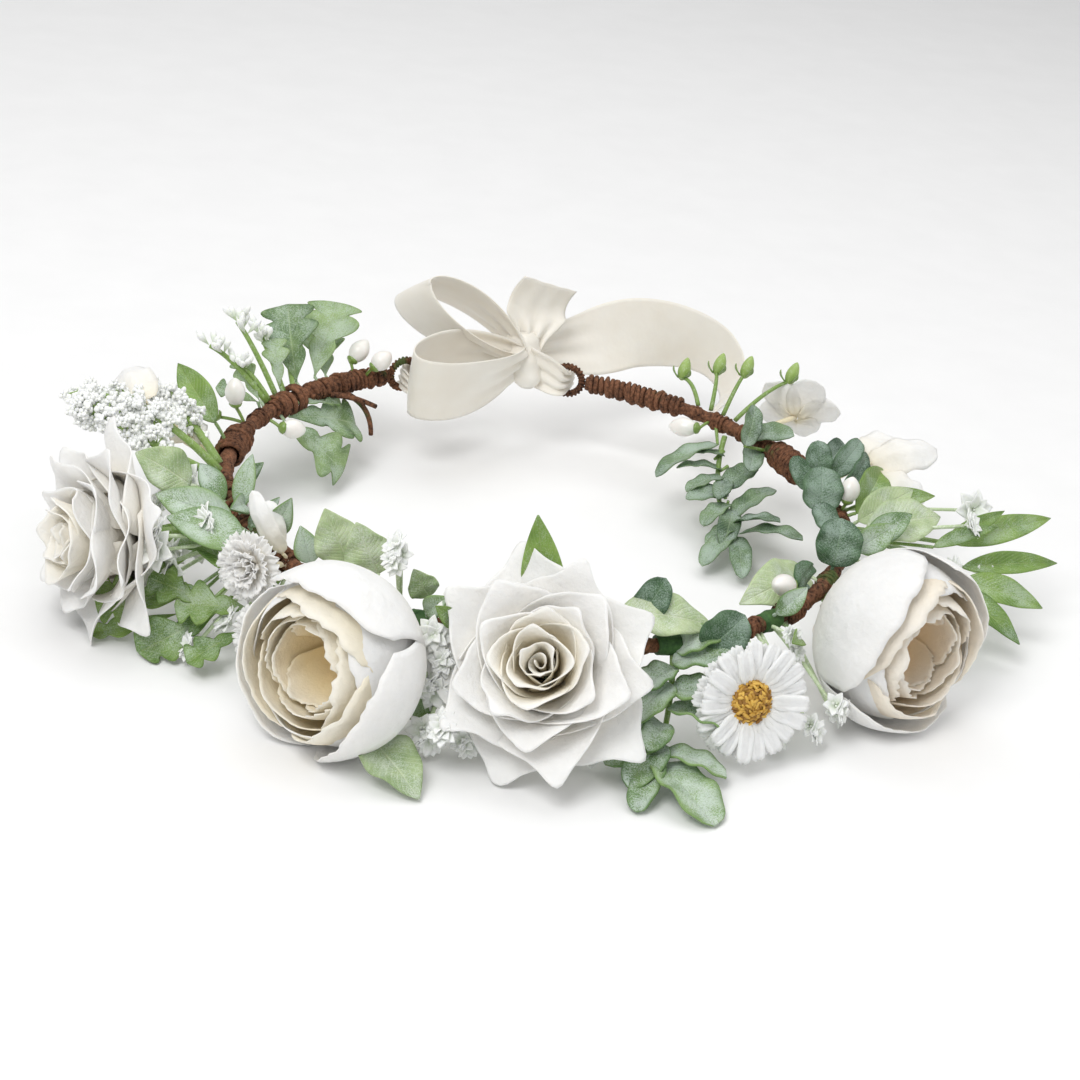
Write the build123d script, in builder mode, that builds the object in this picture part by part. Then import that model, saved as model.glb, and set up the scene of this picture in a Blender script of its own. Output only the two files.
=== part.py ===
from build123d import *
import os
from math import asin, cos, degrees, radians, sin

# A hair crown: an open wire hoop bound in brown twine, dressed with cloth flowers and
# frosted plastic greenery, and closed at the back by a ribbon bow.
# Millimetres. +Z is up, the gap with the bow faces +Y, and the origin is the hoop's centre.

# ---- driving dimensions ----
HOOP_R = 88.0            # hoop centre line
GAP_HALF = 21.0          # degrees from the back to each end of the hoop
FLEX_AT = 72.0           # degrees from the back to the springy spot of each arm
FLOOR = -26.0            # the surface that the lowest petals and leaf tips stand on
WIRE_R = 0.8             # bare core wire
TWINE_R = 2.2            # core bound in twine
COIL_R = 3.0             # tightly coiled ends
SLEEVE_WALL = 1.2        # binding wound round a springy spot
SLEEVE_ROOM = 0.9        # slack between that binding and the arm inside it
ARM_END_GAP = 0.8        # between front wire and arm wire inside the binding
EYELET_R = 4.6           # end loops that the ribbon ties through
PEONY_R = 24.0
ROSE_R = 27.0
SIDE_ROSE_R = 25.5
DAISY_R = 15.5
RIBBON_W = 23.0
RIBBON_T = 0.7
PETAL_T = 0.8
LEAF_T = 0.6
STALK_R = 0.7
LEAF_STALK_R = 0.5
STEM_R = 1.4             # flower stems
TIE_GAP = 0.15           # between a stalk's end and the twine it is tied to
UP = Vector(0, 0, 1)
ASKEW = Vector(1, 0.5, 0.1)    # lies along no bead

os.makedirs("parts", exist_ok=True)


# ---- placing and shaping helpers ----
def heading(phi, rise=0.0):
    """Unit direction: degrees round from the back (clockwise from above), degrees above level."""
    level = cos(radians(rise))
    return Vector(level * sin(radians(phi)), level * cos(radians(phi)), sin(radians(rise)))


def rim(phi, reach=0.0, height=0.0):
    """Point at an angle round the hoop, outside its centre line by reach and above it by height."""
    return heading(phi) * (HOOP_R + reach) + UP * height


def head_plane(centre, phi, rise):
    """Plane of a flower head whose axis, the plane's Z, leans to phi and rise."""
    axis = heading(phi, rise)
    return Plane(origin=centre, x_dir=heading(phi + 90), z_dir=axis)


def hoop_tube(start, stop, outer, inner=0.0):
    """Adds a round bar or tube that follows the hoop from start to stop degrees."""
    cut = Plane(origin=(0, 0, 0), x_dir=heading(start), z_dir=heading(start + 90))
    with BuildSketch(cut) as ring:
        with Locations((HOOP_R, 0)):
            Circle(outer)
            if inner:
                Circle(inner, mode=Mode.SUBTRACT)
    revolve(ring.sketch, axis=Axis((0, 0, 0), (0, 0, -1)), revolution_arc=stop - start)


def stalk(start, bend, end, radius=STALK_R):
    """Adds a thin bowed stalk through three points."""
    with BuildLine() as path:
        ThreePointArc(start, bend, end)
    with BuildSketch(Plane(origin=path.line @ 0, z_dir=path.line % 0)) as section:
        Circle(radius)
    sweep(section.sketch, path=path.line)


def straight_stalk(start, end, radius=STALK_R):
    """Adds a straight stalk between two points."""
    run = end - start
    with BuildSketch(Plane(origin=start, z_dir=run)) as section:
        Circle(radius)
    extrude(section.sketch, amount=run.length)


def tie(target, radius=STALK_R):
    """Adds a straight stalk from the twine's surface to a point beside the hoop."""
    level = Vector(target.X, target.Y, 0)
    centre = level * (HOOP_R / level.length)
    outward = (target - centre).normalized()
    straight_stalk(centre + outward * (TWINE_R + TIE_GAP), target, radius)


def blade_plane(base, tip, face):
    """Plane with its origin at the base, X towards the tip and Z as near to face as it can be."""
    along = (tip - base).normalized()
    return Plane(origin=base, x_dir=along, z_dir=face - along * face.dot(along))


def pointed_leaf(base, tip, width, face=UP):
    """Adds a flat leaf with two pointed ends."""
    length = (tip - base).length
    with BuildSketch(blade_plane(base, tip, face)) as outline:
        with BuildLine():
            ThreePointArc((0, 0), (length / 2, width / 2), (length, 0))
            ThreePointArc((length, 0), (length / 2, -width / 2), (0, 0))
        make_face()
    extrude(outline.sketch, amount=LEAF_T / 2, both=True)


def round_leaf(base, tip, width, face=UP):
    """Adds a flat oval leaf."""
    length = (tip - base).length
    with BuildSketch(blade_plane(base, tip, face)) as outline:
        with Locations((length / 2, 0)):
            Ellipse(length / 2, width / 2)
    extrude(outline.sketch, amount=LEAF_T / 2, both=True)


def tied(shape, base, tip, width, face=UP):
    """Adds a leaf of the given shape and the stalk that ties its base to the hoop."""
    shape(base, tip, width, face)
    tie(base, LEAF_STALK_R)


def lobed_leaf(base, tip, width, face=UP):
    """Adds a flat leaf with a round lobe at the tip and two pairs of side lobes."""
    length = (tip - base).length
    with BuildSketch(blade_plane(base, tip, face)) as outline:
        with Locations((length / 2, 0)):
            Ellipse(length / 2, width / 4)
        for share, lobe in ((0.42, 0.24), (0.72, 0.2)):
            aside = width / 2 - width * lobe
            with Locations((length * share, aside), (length * share, -aside)):
                Circle(width * lobe)
    extrude(outline.sketch, amount=LEAF_T / 2, both=True)


def bead(base, tip, width):
    """Adds a berry-shaped bead between two points, narrower than it is long."""
    length = (tip - base).length
    with BuildSketch(blade_plane(base, tip, ASKEW)) as half:
        with BuildLine():
            Spline((0, 0), (length / 2, width / 2), (length, 0), tangents=((0, 1), (0, -1)))
            Line((length, 0), (0, 0))
        make_face()
    revolve(half.sketch, axis=Axis(base, tip - base))


def ball(centre, radius):
    """Adds a small ball."""
    with Locations(centre):
        Sphere(radius)


def cup_petal(foot, belly, lip, spread):
    """Returns one curved petal about the Z axis: foot, belly and lip are (radius, height)."""
    lip_inside = (lip[0] - PETAL_T, lip[1])
    belly_inside = (belly[0] - PETAL_T, belly[1])
    foot_inside = (foot[0], foot[1] + PETAL_T)
    with BuildPart() as petal:
        with BuildSketch(Plane.XZ) as profile:
            with BuildLine():
                Spline(foot, belly, lip)
                Line(lip, lip_inside)
                Spline(lip_inside, belly_inside, foot_inside)
                Line(foot_inside, foot)
            make_face()
        revolve(axis=Axis.Z, revolution_arc=spread)
    return petal.part


def ball_petal(radius, low, high, spread):
    """Returns one petal of a sphere, between two angles measured from the stalk end."""
    angles = (radians(low), radians((low + high) / 2), radians(high))
    return cup_petal(*((radius * sin(angle), -radius * cos(angle)) for angle in angles), spread)


def ring_of(petal, count, turn=0.0):
    """Adds a petal several times round the Z axis of the part being built."""
    with PolarLocations(0, count, start_angle=turn):
        add(petal)


def calyx(head, back, radius, height):
    """Adds a green cone under a flower head and the stem that ties it to the hoop."""
    with BuildSketch(Plane(origin=head.origin, x_dir=head.x_dir, z_dir=-head.y_dir)) as profile:
        with BuildLine():
            Polyline((0, -back), (radius, height - back), (0, height - back), close=True)
        make_face()
    revolve(profile.sketch, axis=Axis(head.origin, head.z_dir))
    foot = head.origin - head.z_dir * (back - 1)
    tie(foot, STEM_R)


def finish(piece, label):
    """Labels a piece and writes it."""
    piece.part.label = label
    export_step(piece.part, f"parts/{label}.step")


# ---- hoop: front arc and two springy arms ----
HALF_GAP_TURN = degrees(ARM_END_GAP / 2 / HOOP_R)
FRONT_FROM = FLEX_AT + HALF_GAP_TURN
FRONT_TO = 360 - FRONT_FROM
ARM_FROM = FLEX_AT - HALF_GAP_TURN
NODE_BULGE = (-51, -46)  # where the greenery of the left arm is tied on

with BuildPart() as front_wire:
    hoop_tube(FRONT_FROM, FRONT_TO, WIRE_R)
finish(front_wire, "front_wire")

with BuildPart() as front_twine:
    hoop_tube(FRONT_FROM, FRONT_TO, TWINE_R, WIRE_R)
finish(front_twine, "front_twine")

for side, sign in (("right", 1), ("left", -1)):
    low, high = sorted((sign * GAP_HALF, sign * ARM_FROM))
    coil_low, coil_high = sorted((sign * (GAP_HALF + 1), sign * (GAP_HALF + 22)))
    sleeve_far = sign * (FLEX_AT + 5)
    sleeve_near = sign * (FLEX_AT - 4)

    with BuildPart() as arm_wire:
        hoop_tube(low, high, WIRE_R)
    finish(arm_wire, f"{side}_arm_wire")

    with BuildPart() as arm_twine:
        hoop_tube(low, high, TWINE_R, WIRE_R)
        hoop_tube(coil_low, coil_high, COIL_R, WIRE_R)
        if side == "left":
            hoop_tube(*NODE_BULGE, COIL_R + 1.6, WIRE_R)
    finish(arm_twine, f"{side}_arm_twine")

    eyelet_at = rim(sign * (GAP_HALF - 3.5))
    with BuildPart(Plane(origin=eyelet_at, z_dir=heading(sign * GAP_HALF))) as eyelet:
        Torus(EYELET_R, WIRE_R)
    finish(eyelet, f"{side}_eyelet")

    with BuildPart() as flex_binding:
        hoop_tube(*sorted((sign * FRONT_FROM, sleeve_far)), TWINE_R + SLEEVE_ROOM + SLEEVE_WALL, TWINE_R)
        hoop_tube(
            *sorted((sign * FRONT_FROM, sleeve_near)),
            TWINE_R + SLEEVE_ROOM + SLEEVE_WALL,
            TWINE_R + SLEEVE_ROOM,
        )
    finish(flex_binding, f"{side}_flex_binding")

with BuildPart() as brown_bindings:
    for phi in (95, 137, -122, -100):
        hoop_tube(phi, phi + 5, COIL_R + 0.4, TWINE_R)
finish(brown_bindings, "brown_bindings")

with BuildPart() as green_tape:
    for phi in (144, 166, -152, -133):
        hoop_tube(phi, phi + 4, COIL_R, TWINE_R)
finish(green_tape, "green_tape")

# ---- two peonies: round cups of five outer and four inner petals round a closed heart ----
PEONIES = {
    "left_peony": head_plane(rim(-143, 30, FLOOR + PEONY_R), -134, 10),
    "right_peony": head_plane(rim(133, 30, FLOOR + PEONY_R), 150, 4),
}
OUTER_PETAL = ball_petal(PEONY_R, 8, 128, 69)
INNER_PETAL = ball_petal(PEONY_R - 3, 12, 122, 84)
PEONY_HEART_R = 15.0
PEONY_BACK = PEONY_R + 5
for name, head in PEONIES.items():
    with BuildPart(head) as outer_petals:
        ring_of(OUTER_PETAL, 5)
    finish(outer_petals, f"{name}_outer_petals")

    with BuildPart(head) as inner_petals:
        ring_of(INNER_PETAL, 4, turn=20)
    with BuildPart() as heart:
        ball(head.origin, PEONY_HEART_R)
    with BuildPart() as mouth:
        add(inner_petals.part)
        add(heart.part)
    finish(mouth, f"{name}_inner_petals")

    with BuildPart() as cup:
        calyx(head, PEONY_BACK, 6, 4.2)
    finish(cup, f"{name}_calyx")

# ---- front rose and side rose: flaring bowls of petals round a spiral bud ----
ROSES = {
    "front_rose": (head_plane(rim(-170, 16, 3), -168, 20), ROSE_R),
    "side_rose": (head_plane(rim(-105, 40, FLOOR + SIDE_ROSE_R + 0.6), -108, 4), SIDE_ROSE_R),
}
for name, (head, r) in ROSES.items():
    depth = r * 0.72
    outer = cup_petal((3, -depth / 2), (r * 0.62, -depth * 0.2), (r, depth / 2), 68)
    middle = cup_petal((3, -depth * 0.4), (r * 0.5, -depth * 0.05), (r * 0.72, depth * 0.55), 68)
    inner = cup_petal((3, -depth * 0.3), (r * 0.34, depth * 0.05), (r * 0.42, depth * 0.62), 84)

    with BuildPart(head) as outer_petals:
        ring_of(outer, 5)
    finish(outer_petals, f"{name}_outer_petals")

    with BuildPart(head) as middle_petals:
        ring_of(middle, 5, turn=36)
    finish(middle_petals, f"{name}_middle_petals")

    with BuildPart(head) as inner_petals:
        ring_of(inner, 4)
    with BuildPart() as bud:
        bead(head.origin - head.z_dir * depth * 0.1, head.origin + head.z_dir * depth * 0.6, r * 0.3)
    with BuildPart() as spiral:
        add(inner_petals.part)
        add(bud.part)
    finish(spiral, f"{name}_inner_petals")

    with BuildPart() as cup:
        calyx(head, depth / 2 + 4.2, 5, 3.6)
    finish(cup, f"{name}_calyx")

# ---- daisy: two rings of ray petals behind a pollen dome ----
DAISY_RAYS = 18
DAISY_EYE_R = 5.0
daisy_head = head_plane(rim(160, 21, -7), 170, 16)
with BuildPart() as daisy_petals:
    for layer, drop in ((0, 0), (1, 1.6)):
        for ray in range(DAISY_RAYS):
            outward = daisy_head.rotated((0, 0, (ray + layer / 2) * 360 / DAISY_RAYS)).x_dir
            base = daisy_head.origin + outward * (DAISY_EYE_R + 0.4) - daisy_head.z_dir * drop
            tip = base + outward * (DAISY_R - DAISY_EYE_R - 0.4 - drop / 2)
            pointed_leaf(base, tip, 1.8, daisy_head.z_dir)
finish(daisy_petals, "daisy_petals")

with BuildPart(daisy_head) as daisy_centre:
    Cylinder(DAISY_EYE_R, 5)
    fillet(daisy_centre.edges().filter_by(GeomType.CIRCLE), 1.4)
finish(daisy_centre, "daisy_centre")

with BuildPart() as daisy_stem:
    tie(daisy_head.origin - daisy_head.z_dir * 2.7, 1.0)
finish(daisy_stem, "daisy_stem")

# ---- front greenery on the hoop ----
with BuildPart() as frosted_sprig_leaves:
    for base, tip, width in (
        ((168, 4, -3), (161, 12, 2), 9),
        ((170, 12, -12), (163, 17, -12), 9),
        ((171, 15, -15), (179, 19, -22), 9),
        ((173, 22, -22), (171, 47, FLOOR + LEAF_T), 13),
        ((172, 18, -18), (176, 33, -22), 6),
        ((169, 8, -7), (175, 16, -14), 6),
    ):
        round_leaf(rim(*base), rim(*tip), width)
finish(frosted_sprig_leaves, "frosted_sprig_leaves")

with BuildPart() as frosted_sprig_stem:
    stalk(rim(167, 1, -2), rim(169, 9, -12), rim(173, 22, -23), 0.8)
finish(frosted_sprig_stem, "frosted_sprig_stem")

with BuildPart() as smooth_leaves:
    tied(pointed_leaf, rim(177, -3, 8), rim(161, 1, 4), 11, heading(165, 50))
    tied(pointed_leaf, rim(130, -5, 4), rim(153, -7, 6), 12, heading(160, 60))
    tied(pointed_leaf, rim(90, 12, 6), rim(105, 24, 5), 13, heading(170, 45))
    tied(pointed_leaf, rim(-100, 14, 6), rim(-89, 19, 18), 13, heading(-150, 30))
    tied(pointed_leaf, rim(-132, -3, 6), rim(-134, 4, 22), 11, heading(-160, 20))
    tied(pointed_leaf, rim(-143, -3, 6), rim(-141, 4, 21), 11, heading(-165, 20))
finish(smooth_leaves, "smooth_leaves")

with BuildPart() as green_blades:
    tied(pointed_leaf, rim(-171, -5, 4), rim(-167, -10, 31), 10, heading(-170, 15))
    tied(pointed_leaf, rim(-80, 8, 2), rim(-62, 24, 9), 9, heading(-150, 35))
    tied(pointed_leaf, rim(86, 5, 3), rim(92, 16, 12), 7, heading(170, 40))
    tied(pointed_leaf, rim(100, 42, -2), rim(96, 68, 2), 8, heading(170, 50))
    tied(pointed_leaf, rim(106, 42, -6), rim(104, 58, -18), 8, heading(170, 50))
finish(green_blades, "green_blades")

with BuildPart() as round_leaves:
    for phi, reach, height in ((156, 3, 4), (101, 5, 6), (95, 3, 9), (86, 5, 6), (81, 4, 6), (171, -6, 12)):
        base = rim(phi, reach, height - 2)
        tip = rim(phi - 3, reach + 2, height + 8)
        tied(round_leaf, base, tip, 9, heading(170, 30))
finish(round_leaves, "round_leaves")

with BuildPart() as front_fillers:
    for phi, reach, height, size in (
        (-156, 4, 9, 6), (-155, 12, -10, 8), (-159, 25, -14, 7), (-164, 13, -22, 6), (-169, 12, -22, 6),
        (-178, 14, -22, 6), (153, 19, -22, 5), (149, 23, -19, 6), (145, 24, -15, 6), (-146, 6, 18, 5),
        (-122, 6, -14, 6), (-126, 12, -19, 6), (146, 10, -5, 4), (150, 13, -9, 4),
    ):
        ball(rim(phi, reach, height), size / 2)
        tie(rim(phi, reach - size / 2 + TIE_GAP, height))
finish(front_fillers, "front_fillers")

# ---- left shoulder: foam spray, magnolia petals, ivy, fringed flowers, frosted leaves ----
FOAM_SPIKES = (
    (rim(-88, 2, 3), rim(-84, 22, 16), rim(-76, 44, 13)),
    (rim(-85, 2, 3), rim(-79, 14, 13), rim(-73, 26, 11)),
    (rim(-91, 2, 3), rim(-89, 26, 14), rim(-83, 42, 17)),
)
FOAM_R = 2.1
with BuildPart() as foam_stems:
    for start, bend, end in FOAM_SPIKES:
        stalk(start, bend, end)
finish(foam_stems, "foam_stems")

with BuildPart() as foam_beads:
    for start, bend, end in FOAM_SPIKES:
        run = end - bend
        aside = run.cross(UP).normalized()
        for step in range(1, int(run.length / (FOAM_R * 1.15)) + 1):
            on_stem = bend + run.normalized() * (step * FOAM_R * 1.15)
            side = aside * (-1) ** step + UP * (0.7 if step % 3 else -0.5)
            ball(on_stem + side.normalized() * (FOAM_R + STALK_R + 1.2), FOAM_R)
finish(foam_beads, "foam_beads")

with BuildPart() as magnolia_petals:
    tied(pointed_leaf, rim(84, 16, 10), rim(91, 42, 18), 11, heading(150, 70))
    tied(pointed_leaf, rim(80, 16, 9), rim(80, 40, 8), 11, heading(150, 60))
    tied(pointed_leaf, rim(88, 14, 8), rim(94, 30, 4), 9, heading(150, 60))
    tied(pointed_leaf, rim(-82, 26, 20), rim(-70, 34, 21), 12, heading(-150, 60))
    tied(pointed_leaf, rim(-84, 12, 8), rim(-70, 14, 6), 10, heading(-150, 60))
finish(magnolia_petals, "magnolia_petals")

with BuildPart() as fringed_petals:
    for phi, reach, height, turn in ((-122, 13, 3, -140), (-128, 16, -12, -130)):
        axis = heading(turn, 10)
        head = head_plane(rim(phi, reach, height), turn, 10)
        tie(head.origin)
        for ray in range(8):
            outward = head.rotated((0, 0, ray * 45)).x_dir
            pointed_leaf(head.origin, head.origin + outward * 9 + axis * 3, 5, axis)
finish(fringed_petals, "fringed_petals")

with BuildPart() as ivy_leaves:
    for base, tip, width in (
        ((-116, 20, -12), (-110, 40, -16), 11),
        ((-119, 14, -14), (-117, 38, -22), 11),
        ((-122, 10, -8), (-119, 26, -8), 10),
        ((-112, 22, -18), (-108, 44, FLOOR + LEAF_T), 5),
    ):
        tied(pointed_leaf, rim(*base), rim(*tip), width, heading(-150, 40))
finish(ivy_leaves, "ivy_leaves")

with BuildPart() as frosted_leaves:
    tied(pointed_leaf, rim(-112, 2, 4), rim(-100, 18, 10), 10, heading(-160, 40))
    tied(pointed_leaf, rim(-104, 1, 3), rim(-99, -4, 16), 6, heading(-170, 20))
    tied(pointed_leaf, rim(-114, 0, 3), rim(-122, -4, 15), 6, heading(-170, 20))
    tied(pointed_leaf, rim(-110, 1, 3), rim(-112, -6, 12), 5, heading(-170, 20))
finish(frosted_leaves, "frosted_leaves")

with BuildPart() as star_flowers:
    for phi, reach, height, turn in (
        (-92, 12, 2, -150), (-99, 9, -10, -150), (-112, 30, 2, -140), (93, 42, 2, 170), (112, 34, -8, 170),
    ):
        head = head_plane(rim(phi, reach, height), turn, 30)
        tie(head.origin)
        for ray in range(5):
            outward = head.rotated((0, 0, ray * 72)).x_dir
            pointed_leaf(head.origin, head.origin + outward * 6, 2.6, head.z_dir)
finish(star_flowers, "star_flowers")

# ---- left arm: berries, lobed leaves, filler sprigs, twigs ----
with BuildPart() as lobed_leaves:
    tied(lobed_leaf, rim(-42, 3, 3), rim(-36, 18, 20), 17, heading(-160, 20))
    tied(lobed_leaf, rim(-38, 3, 3), rim(-27, 17, 18), 19, heading(-160, 20))
    tied(lobed_leaf, rim(-35, 3, 2), rim(-30, 20, 6), 13, heading(-160, 50))
    tied(lobed_leaf, rim(-53, -3, -3), rim(-32, -6, -14), 16, heading(-170, 50))
    tied(lobed_leaf, rim(-52, -4, -4), rim(-45, -18, FLOOR + LEAF_T), 16, heading(-170, 50))
finish(lobed_leaves, "lobed_leaves")

with BuildPart() as left_arm_berries:
    for base, tip in (
        ((-29, 3, 5), (-25, 4, 11)),
        ((-27, -4, 5), (-23, -5, 10)),
        ((-64, 4, 6), (-64, 5, 15)),
        ((-62, 10, 0), (-64, 17, 4)),
        ((-57, -6, -2), (-52, -11, -4)),
    ):
        bead(rim(*base), rim(*tip), 5.4)
        tie(rim(*base), LEAF_STALK_R)
finish(left_arm_berries, "left_arm_berries")

FILLERS = ((-57, 19, 20), (-55, 11, 14), (-45, 16, 18), (-39, 12, 6), (-50, 18, 24))
FLORET_R = 3.6
with BuildPart() as filler_stems:
    for phi, reach, height in FILLERS:
        straight_stalk(rim((phi - 50) / 2, COIL_R, 4), rim(phi, reach, height - FLORET_R), 0.8)
finish(filler_stems, "filler_stems")

with BuildPart() as filler_florets:
    for phi, reach, height in FILLERS:
        ball(rim(phi, reach, height), FLORET_R)
finish(filler_florets, "filler_florets")

with BuildPart() as arm_twigs:
    stalk(rim(-33, -3, -3), rim(-29, -6, -7), rim(-27, -7, -16), 0.9)
    stalk(rim(-37, -4, -2), rim(-33, -7, -2), rim(-28, -10, -5), 0.9)
finish(arm_twigs, "arm_twigs")

# ---- right arm: hanging sprig, buds, blossom, berry ----
HANG = (rim(55, -4, -3), rim(62, -14, -12), rim(78, -22, -20))
with BuildPart() as hanging_sprig_stem:
    stalk(*HANG, 0.8)
finish(hanging_sprig_stem, "hanging_sprig_stem")

with BuildPart() as hanging_sprig_leaves:
    for base, tip, width in (
        ((57, -10, -7), (46, -16, -10), 7),
        ((62, -15, -12), (52, -24, -17), 7),
        ((68, -17, -14), (80, -8, -16), 8),
        ((72, -21, -17), (66, -34, -22), 7),
        ((79, -23, -20), (94, -30, FLOOR + LEAF_T), 7),
        ((60, -11, -9), (68, -3, -10), 7),
    ):
        round_leaf(rim(*base), rim(*tip), width)
    pointed_leaf(rim(46, -4, -4), rim(42, -16, -12), 9)
finish(hanging_sprig_leaves, "hanging_sprig_leaves")

with BuildPart() as blossom_petals:
    blossom_head = head_plane(rim(59, 22, 2), 20, 25)
    for ray in range(5):
        outward = blossom_head.rotated((0, 0, ray * 72)).x_dir
        round_leaf(blossom_head.origin, blossom_head.origin + outward * 13, 10, blossom_head.z_dir)
    tie(blossom_head.origin)
finish(blossom_petals, "blossom_petals")

BUDS = ((45, 10, 15), (51, 8, 19), (57, 18, 20), (39, 8, 10))
with BuildPart() as right_arm_buds:
    for phi, reach, height in BUDS:
        straight_stalk(rim((phi + 52) / 2, TWINE_R, 2), rim(phi, reach - 1.3, height - 3), STALK_R)
        bead(rim(phi, reach - 1, height - 2), rim(phi, reach + 1, height + 5), 5)
finish(right_arm_buds, "right_arm_buds")

with BuildPart() as right_arm_berry:
    bead(rim(50, -7, -1), rim(43, -9, -3), 5.4)
finish(right_arm_berry, "right_arm_berry")

with BuildPart() as front_berries:
    bead(rim(97, 2, 5), rim(96, 3, 13), 5.6)
    bead(rim(138, -2, 6), rim(145, -1, 10), 5.6)
finish(front_berries, "front_berries")

# ---- ribbon: knot, two loops, two tails, and a strand to each end loop ----
KNOT = Vector(12, 87, 6)
RIBBON_UP = Vector(0, -0.45, 0.9).normalized()


def ribbon_loop(end, fullness, across):
    """Adds a loop of ribbon from the knot: a teardrop band whose width runs along across."""
    run = end - KNOT
    level = across - run * (across.dot(run) / run.dot(run))
    length = run.length
    round_r = fullness / 2
    middle = length - round_r
    lean = asin(round_r / middle)
    side = (middle - round_r * sin(lean), round_r * cos(lean))
    with BuildSketch(Plane(origin=KNOT, x_dir=run, z_dir=level)) as band:
        with BuildLine():
            Line((0, 0), side)
            ThreePointArc(side, (length, 0), (side[0], -side[1]))
            Line((side[0], -side[1]), (0, 0))
        make_face()
        offset(amount=-RIBBON_T, mode=Mode.SUBTRACT)
        with Locations((0, 0)):
            Circle(4.6, mode=Mode.SUBTRACT)
    extrude(band.sketch, amount=RIBBON_W / 2, both=True)


def ribbon_strip(start, end, across, width):
    """Adds a flat length of ribbon between two points."""
    run = end - start
    with BuildSketch(Plane(origin=start, x_dir=run, z_dir=run.cross(across))) as strip:
        Rectangle(run.length, width, align=(Align.MIN, Align.CENTER))
    extrude(strip.sketch, amount=RIBBON_T / 2, both=True)


with BuildPart() as bow_knot:
    bead(KNOT - RIBBON_UP * 7, KNOT + RIBBON_UP * 7, 8.8)
finish(bow_knot, "bow_knot")

with BuildPart() as bow_loop_low:
    ribbon_loop(Vector(-27, 66, 4), 13, Vector(0, -0.35, 0.94))
finish(bow_loop_low, "bow_loop_low")

with BuildPart() as bow_loop_high:
    ribbon_loop(Vector(-25, 93, 25), 12, Vector(0.3, -0.8, 0.5))
finish(bow_loop_high, "bow_loop_high")

with BuildPart() as bow_tail_short:
    ribbon_strip(KNOT + Vector(1.5, 1, 6), Vector(18, 93, 27), Vector(1, 0, 0), 17)
finish(bow_tail_short, "bow_tail_short")

with BuildPart() as bow_tail_long:
    ribbon_strip(KNOT + Vector(6, 8, 0), Vector(84, 105, 3), UP, RIBBON_W)
finish(bow_tail_long, "bow_tail_long")

with BuildPart() as left_strand:
    ribbon_strip(Vector(-27, 86.5, 0), Vector(-9, 88.5, 2), UP, 5)
finish(left_strand, "left_strand")

with BuildPart() as right_strand:
    ribbon_strip(Vector(29, 84, 1), Vector(20.5, 86, 4), UP, 5)
finish(right_strand, "right_strand")
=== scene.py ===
import bpy
import numpy as np
from math import cos, radians, sin
from mathutils import Matrix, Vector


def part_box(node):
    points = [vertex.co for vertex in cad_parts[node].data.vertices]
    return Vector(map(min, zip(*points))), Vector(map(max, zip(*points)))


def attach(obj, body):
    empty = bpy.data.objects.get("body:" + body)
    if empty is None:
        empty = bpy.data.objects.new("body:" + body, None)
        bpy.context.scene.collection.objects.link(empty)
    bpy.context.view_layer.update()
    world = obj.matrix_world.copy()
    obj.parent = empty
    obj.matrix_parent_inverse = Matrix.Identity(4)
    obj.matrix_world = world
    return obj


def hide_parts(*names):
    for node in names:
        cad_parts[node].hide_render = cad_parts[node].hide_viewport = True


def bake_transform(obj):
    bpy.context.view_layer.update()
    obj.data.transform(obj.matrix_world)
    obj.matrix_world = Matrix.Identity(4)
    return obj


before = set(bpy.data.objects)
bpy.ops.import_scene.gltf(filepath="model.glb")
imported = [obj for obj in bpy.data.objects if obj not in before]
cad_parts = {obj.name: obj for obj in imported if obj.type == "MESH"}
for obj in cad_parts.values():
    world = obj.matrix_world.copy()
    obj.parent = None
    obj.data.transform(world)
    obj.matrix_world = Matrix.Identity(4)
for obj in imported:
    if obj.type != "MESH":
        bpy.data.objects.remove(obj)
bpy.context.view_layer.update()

# Sizes below are millimetres in the frame of the CAD model and become metres in Bag.build.
MM = 0.001
WIRE_R = 0.8
HOOP_R = round(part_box("front_wire")[1][0] / MM - WIRE_R, 1)    # the wire reaches its full width at 90
GAP_HALF = 21.0
FLEX_AT = 72.0
FLOOR = -26.0
SOFT = 2.5    # depth over which low tips flatten out on the floor
TWINE_R = 2.2
COIL_R = 3.0
EYELET_R = 4.6
EYELET_CORD_R = 0.85
PEONY_R = 24.0
ROSE_R = 27.0
SIDE_ROSE_R = 25.5
UP = np.array((0.0, 0.0, 1.0))
rng = np.random.default_rng(11)


# ---- placing ----
def vec(*xyz):
    return np.array(xyz, float)


def unit(a):
    return a / np.linalg.norm(a)


def heading(phi, rise=0.0):
    """Unit direction: degrees round from the back (clockwise from above), degrees above level."""
    level = cos(radians(rise))
    return vec(level * sin(radians(phi)), level * cos(radians(phi)), sin(radians(rise)))


def rim(phi, reach=0.0, height=0.0):
    """Point at an angle round the hoop, outside its centre line by reach and above it by height."""
    return heading(phi) * (HOOP_R + reach) + UP * height


def middle(node):
    """Middle of a CAD node's box."""
    low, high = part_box(node)
    return (np.array(low) + np.array(high)) / 2 / MM


class Head:
    """Axes of a flower head or other small piece: z is its axis."""

    def __init__(self, origin, phi, rise, roll=0.0):
        self.o = origin
        self.z = heading(phi, rise)
        x = heading(phi + 90)
        y = np.cross(self.z, x)
        self.x = x * cos(radians(roll)) + y * sin(radians(roll))
        self.y = np.cross(self.z, self.x)

    def place(self, local):
        return self.o + local[..., 0:1] * self.x + local[..., 1:2] * self.y + local[..., 2:3] * self.z

    def at(self, turn, out, lift=0.0):
        a = radians(turn)
        return self.o + (self.x * cos(a) + self.y * sin(a)) * out + self.z * lift

    def outward(self, turn):
        a = radians(turn)
        return self.x * cos(a) + self.y * sin(a)


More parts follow.
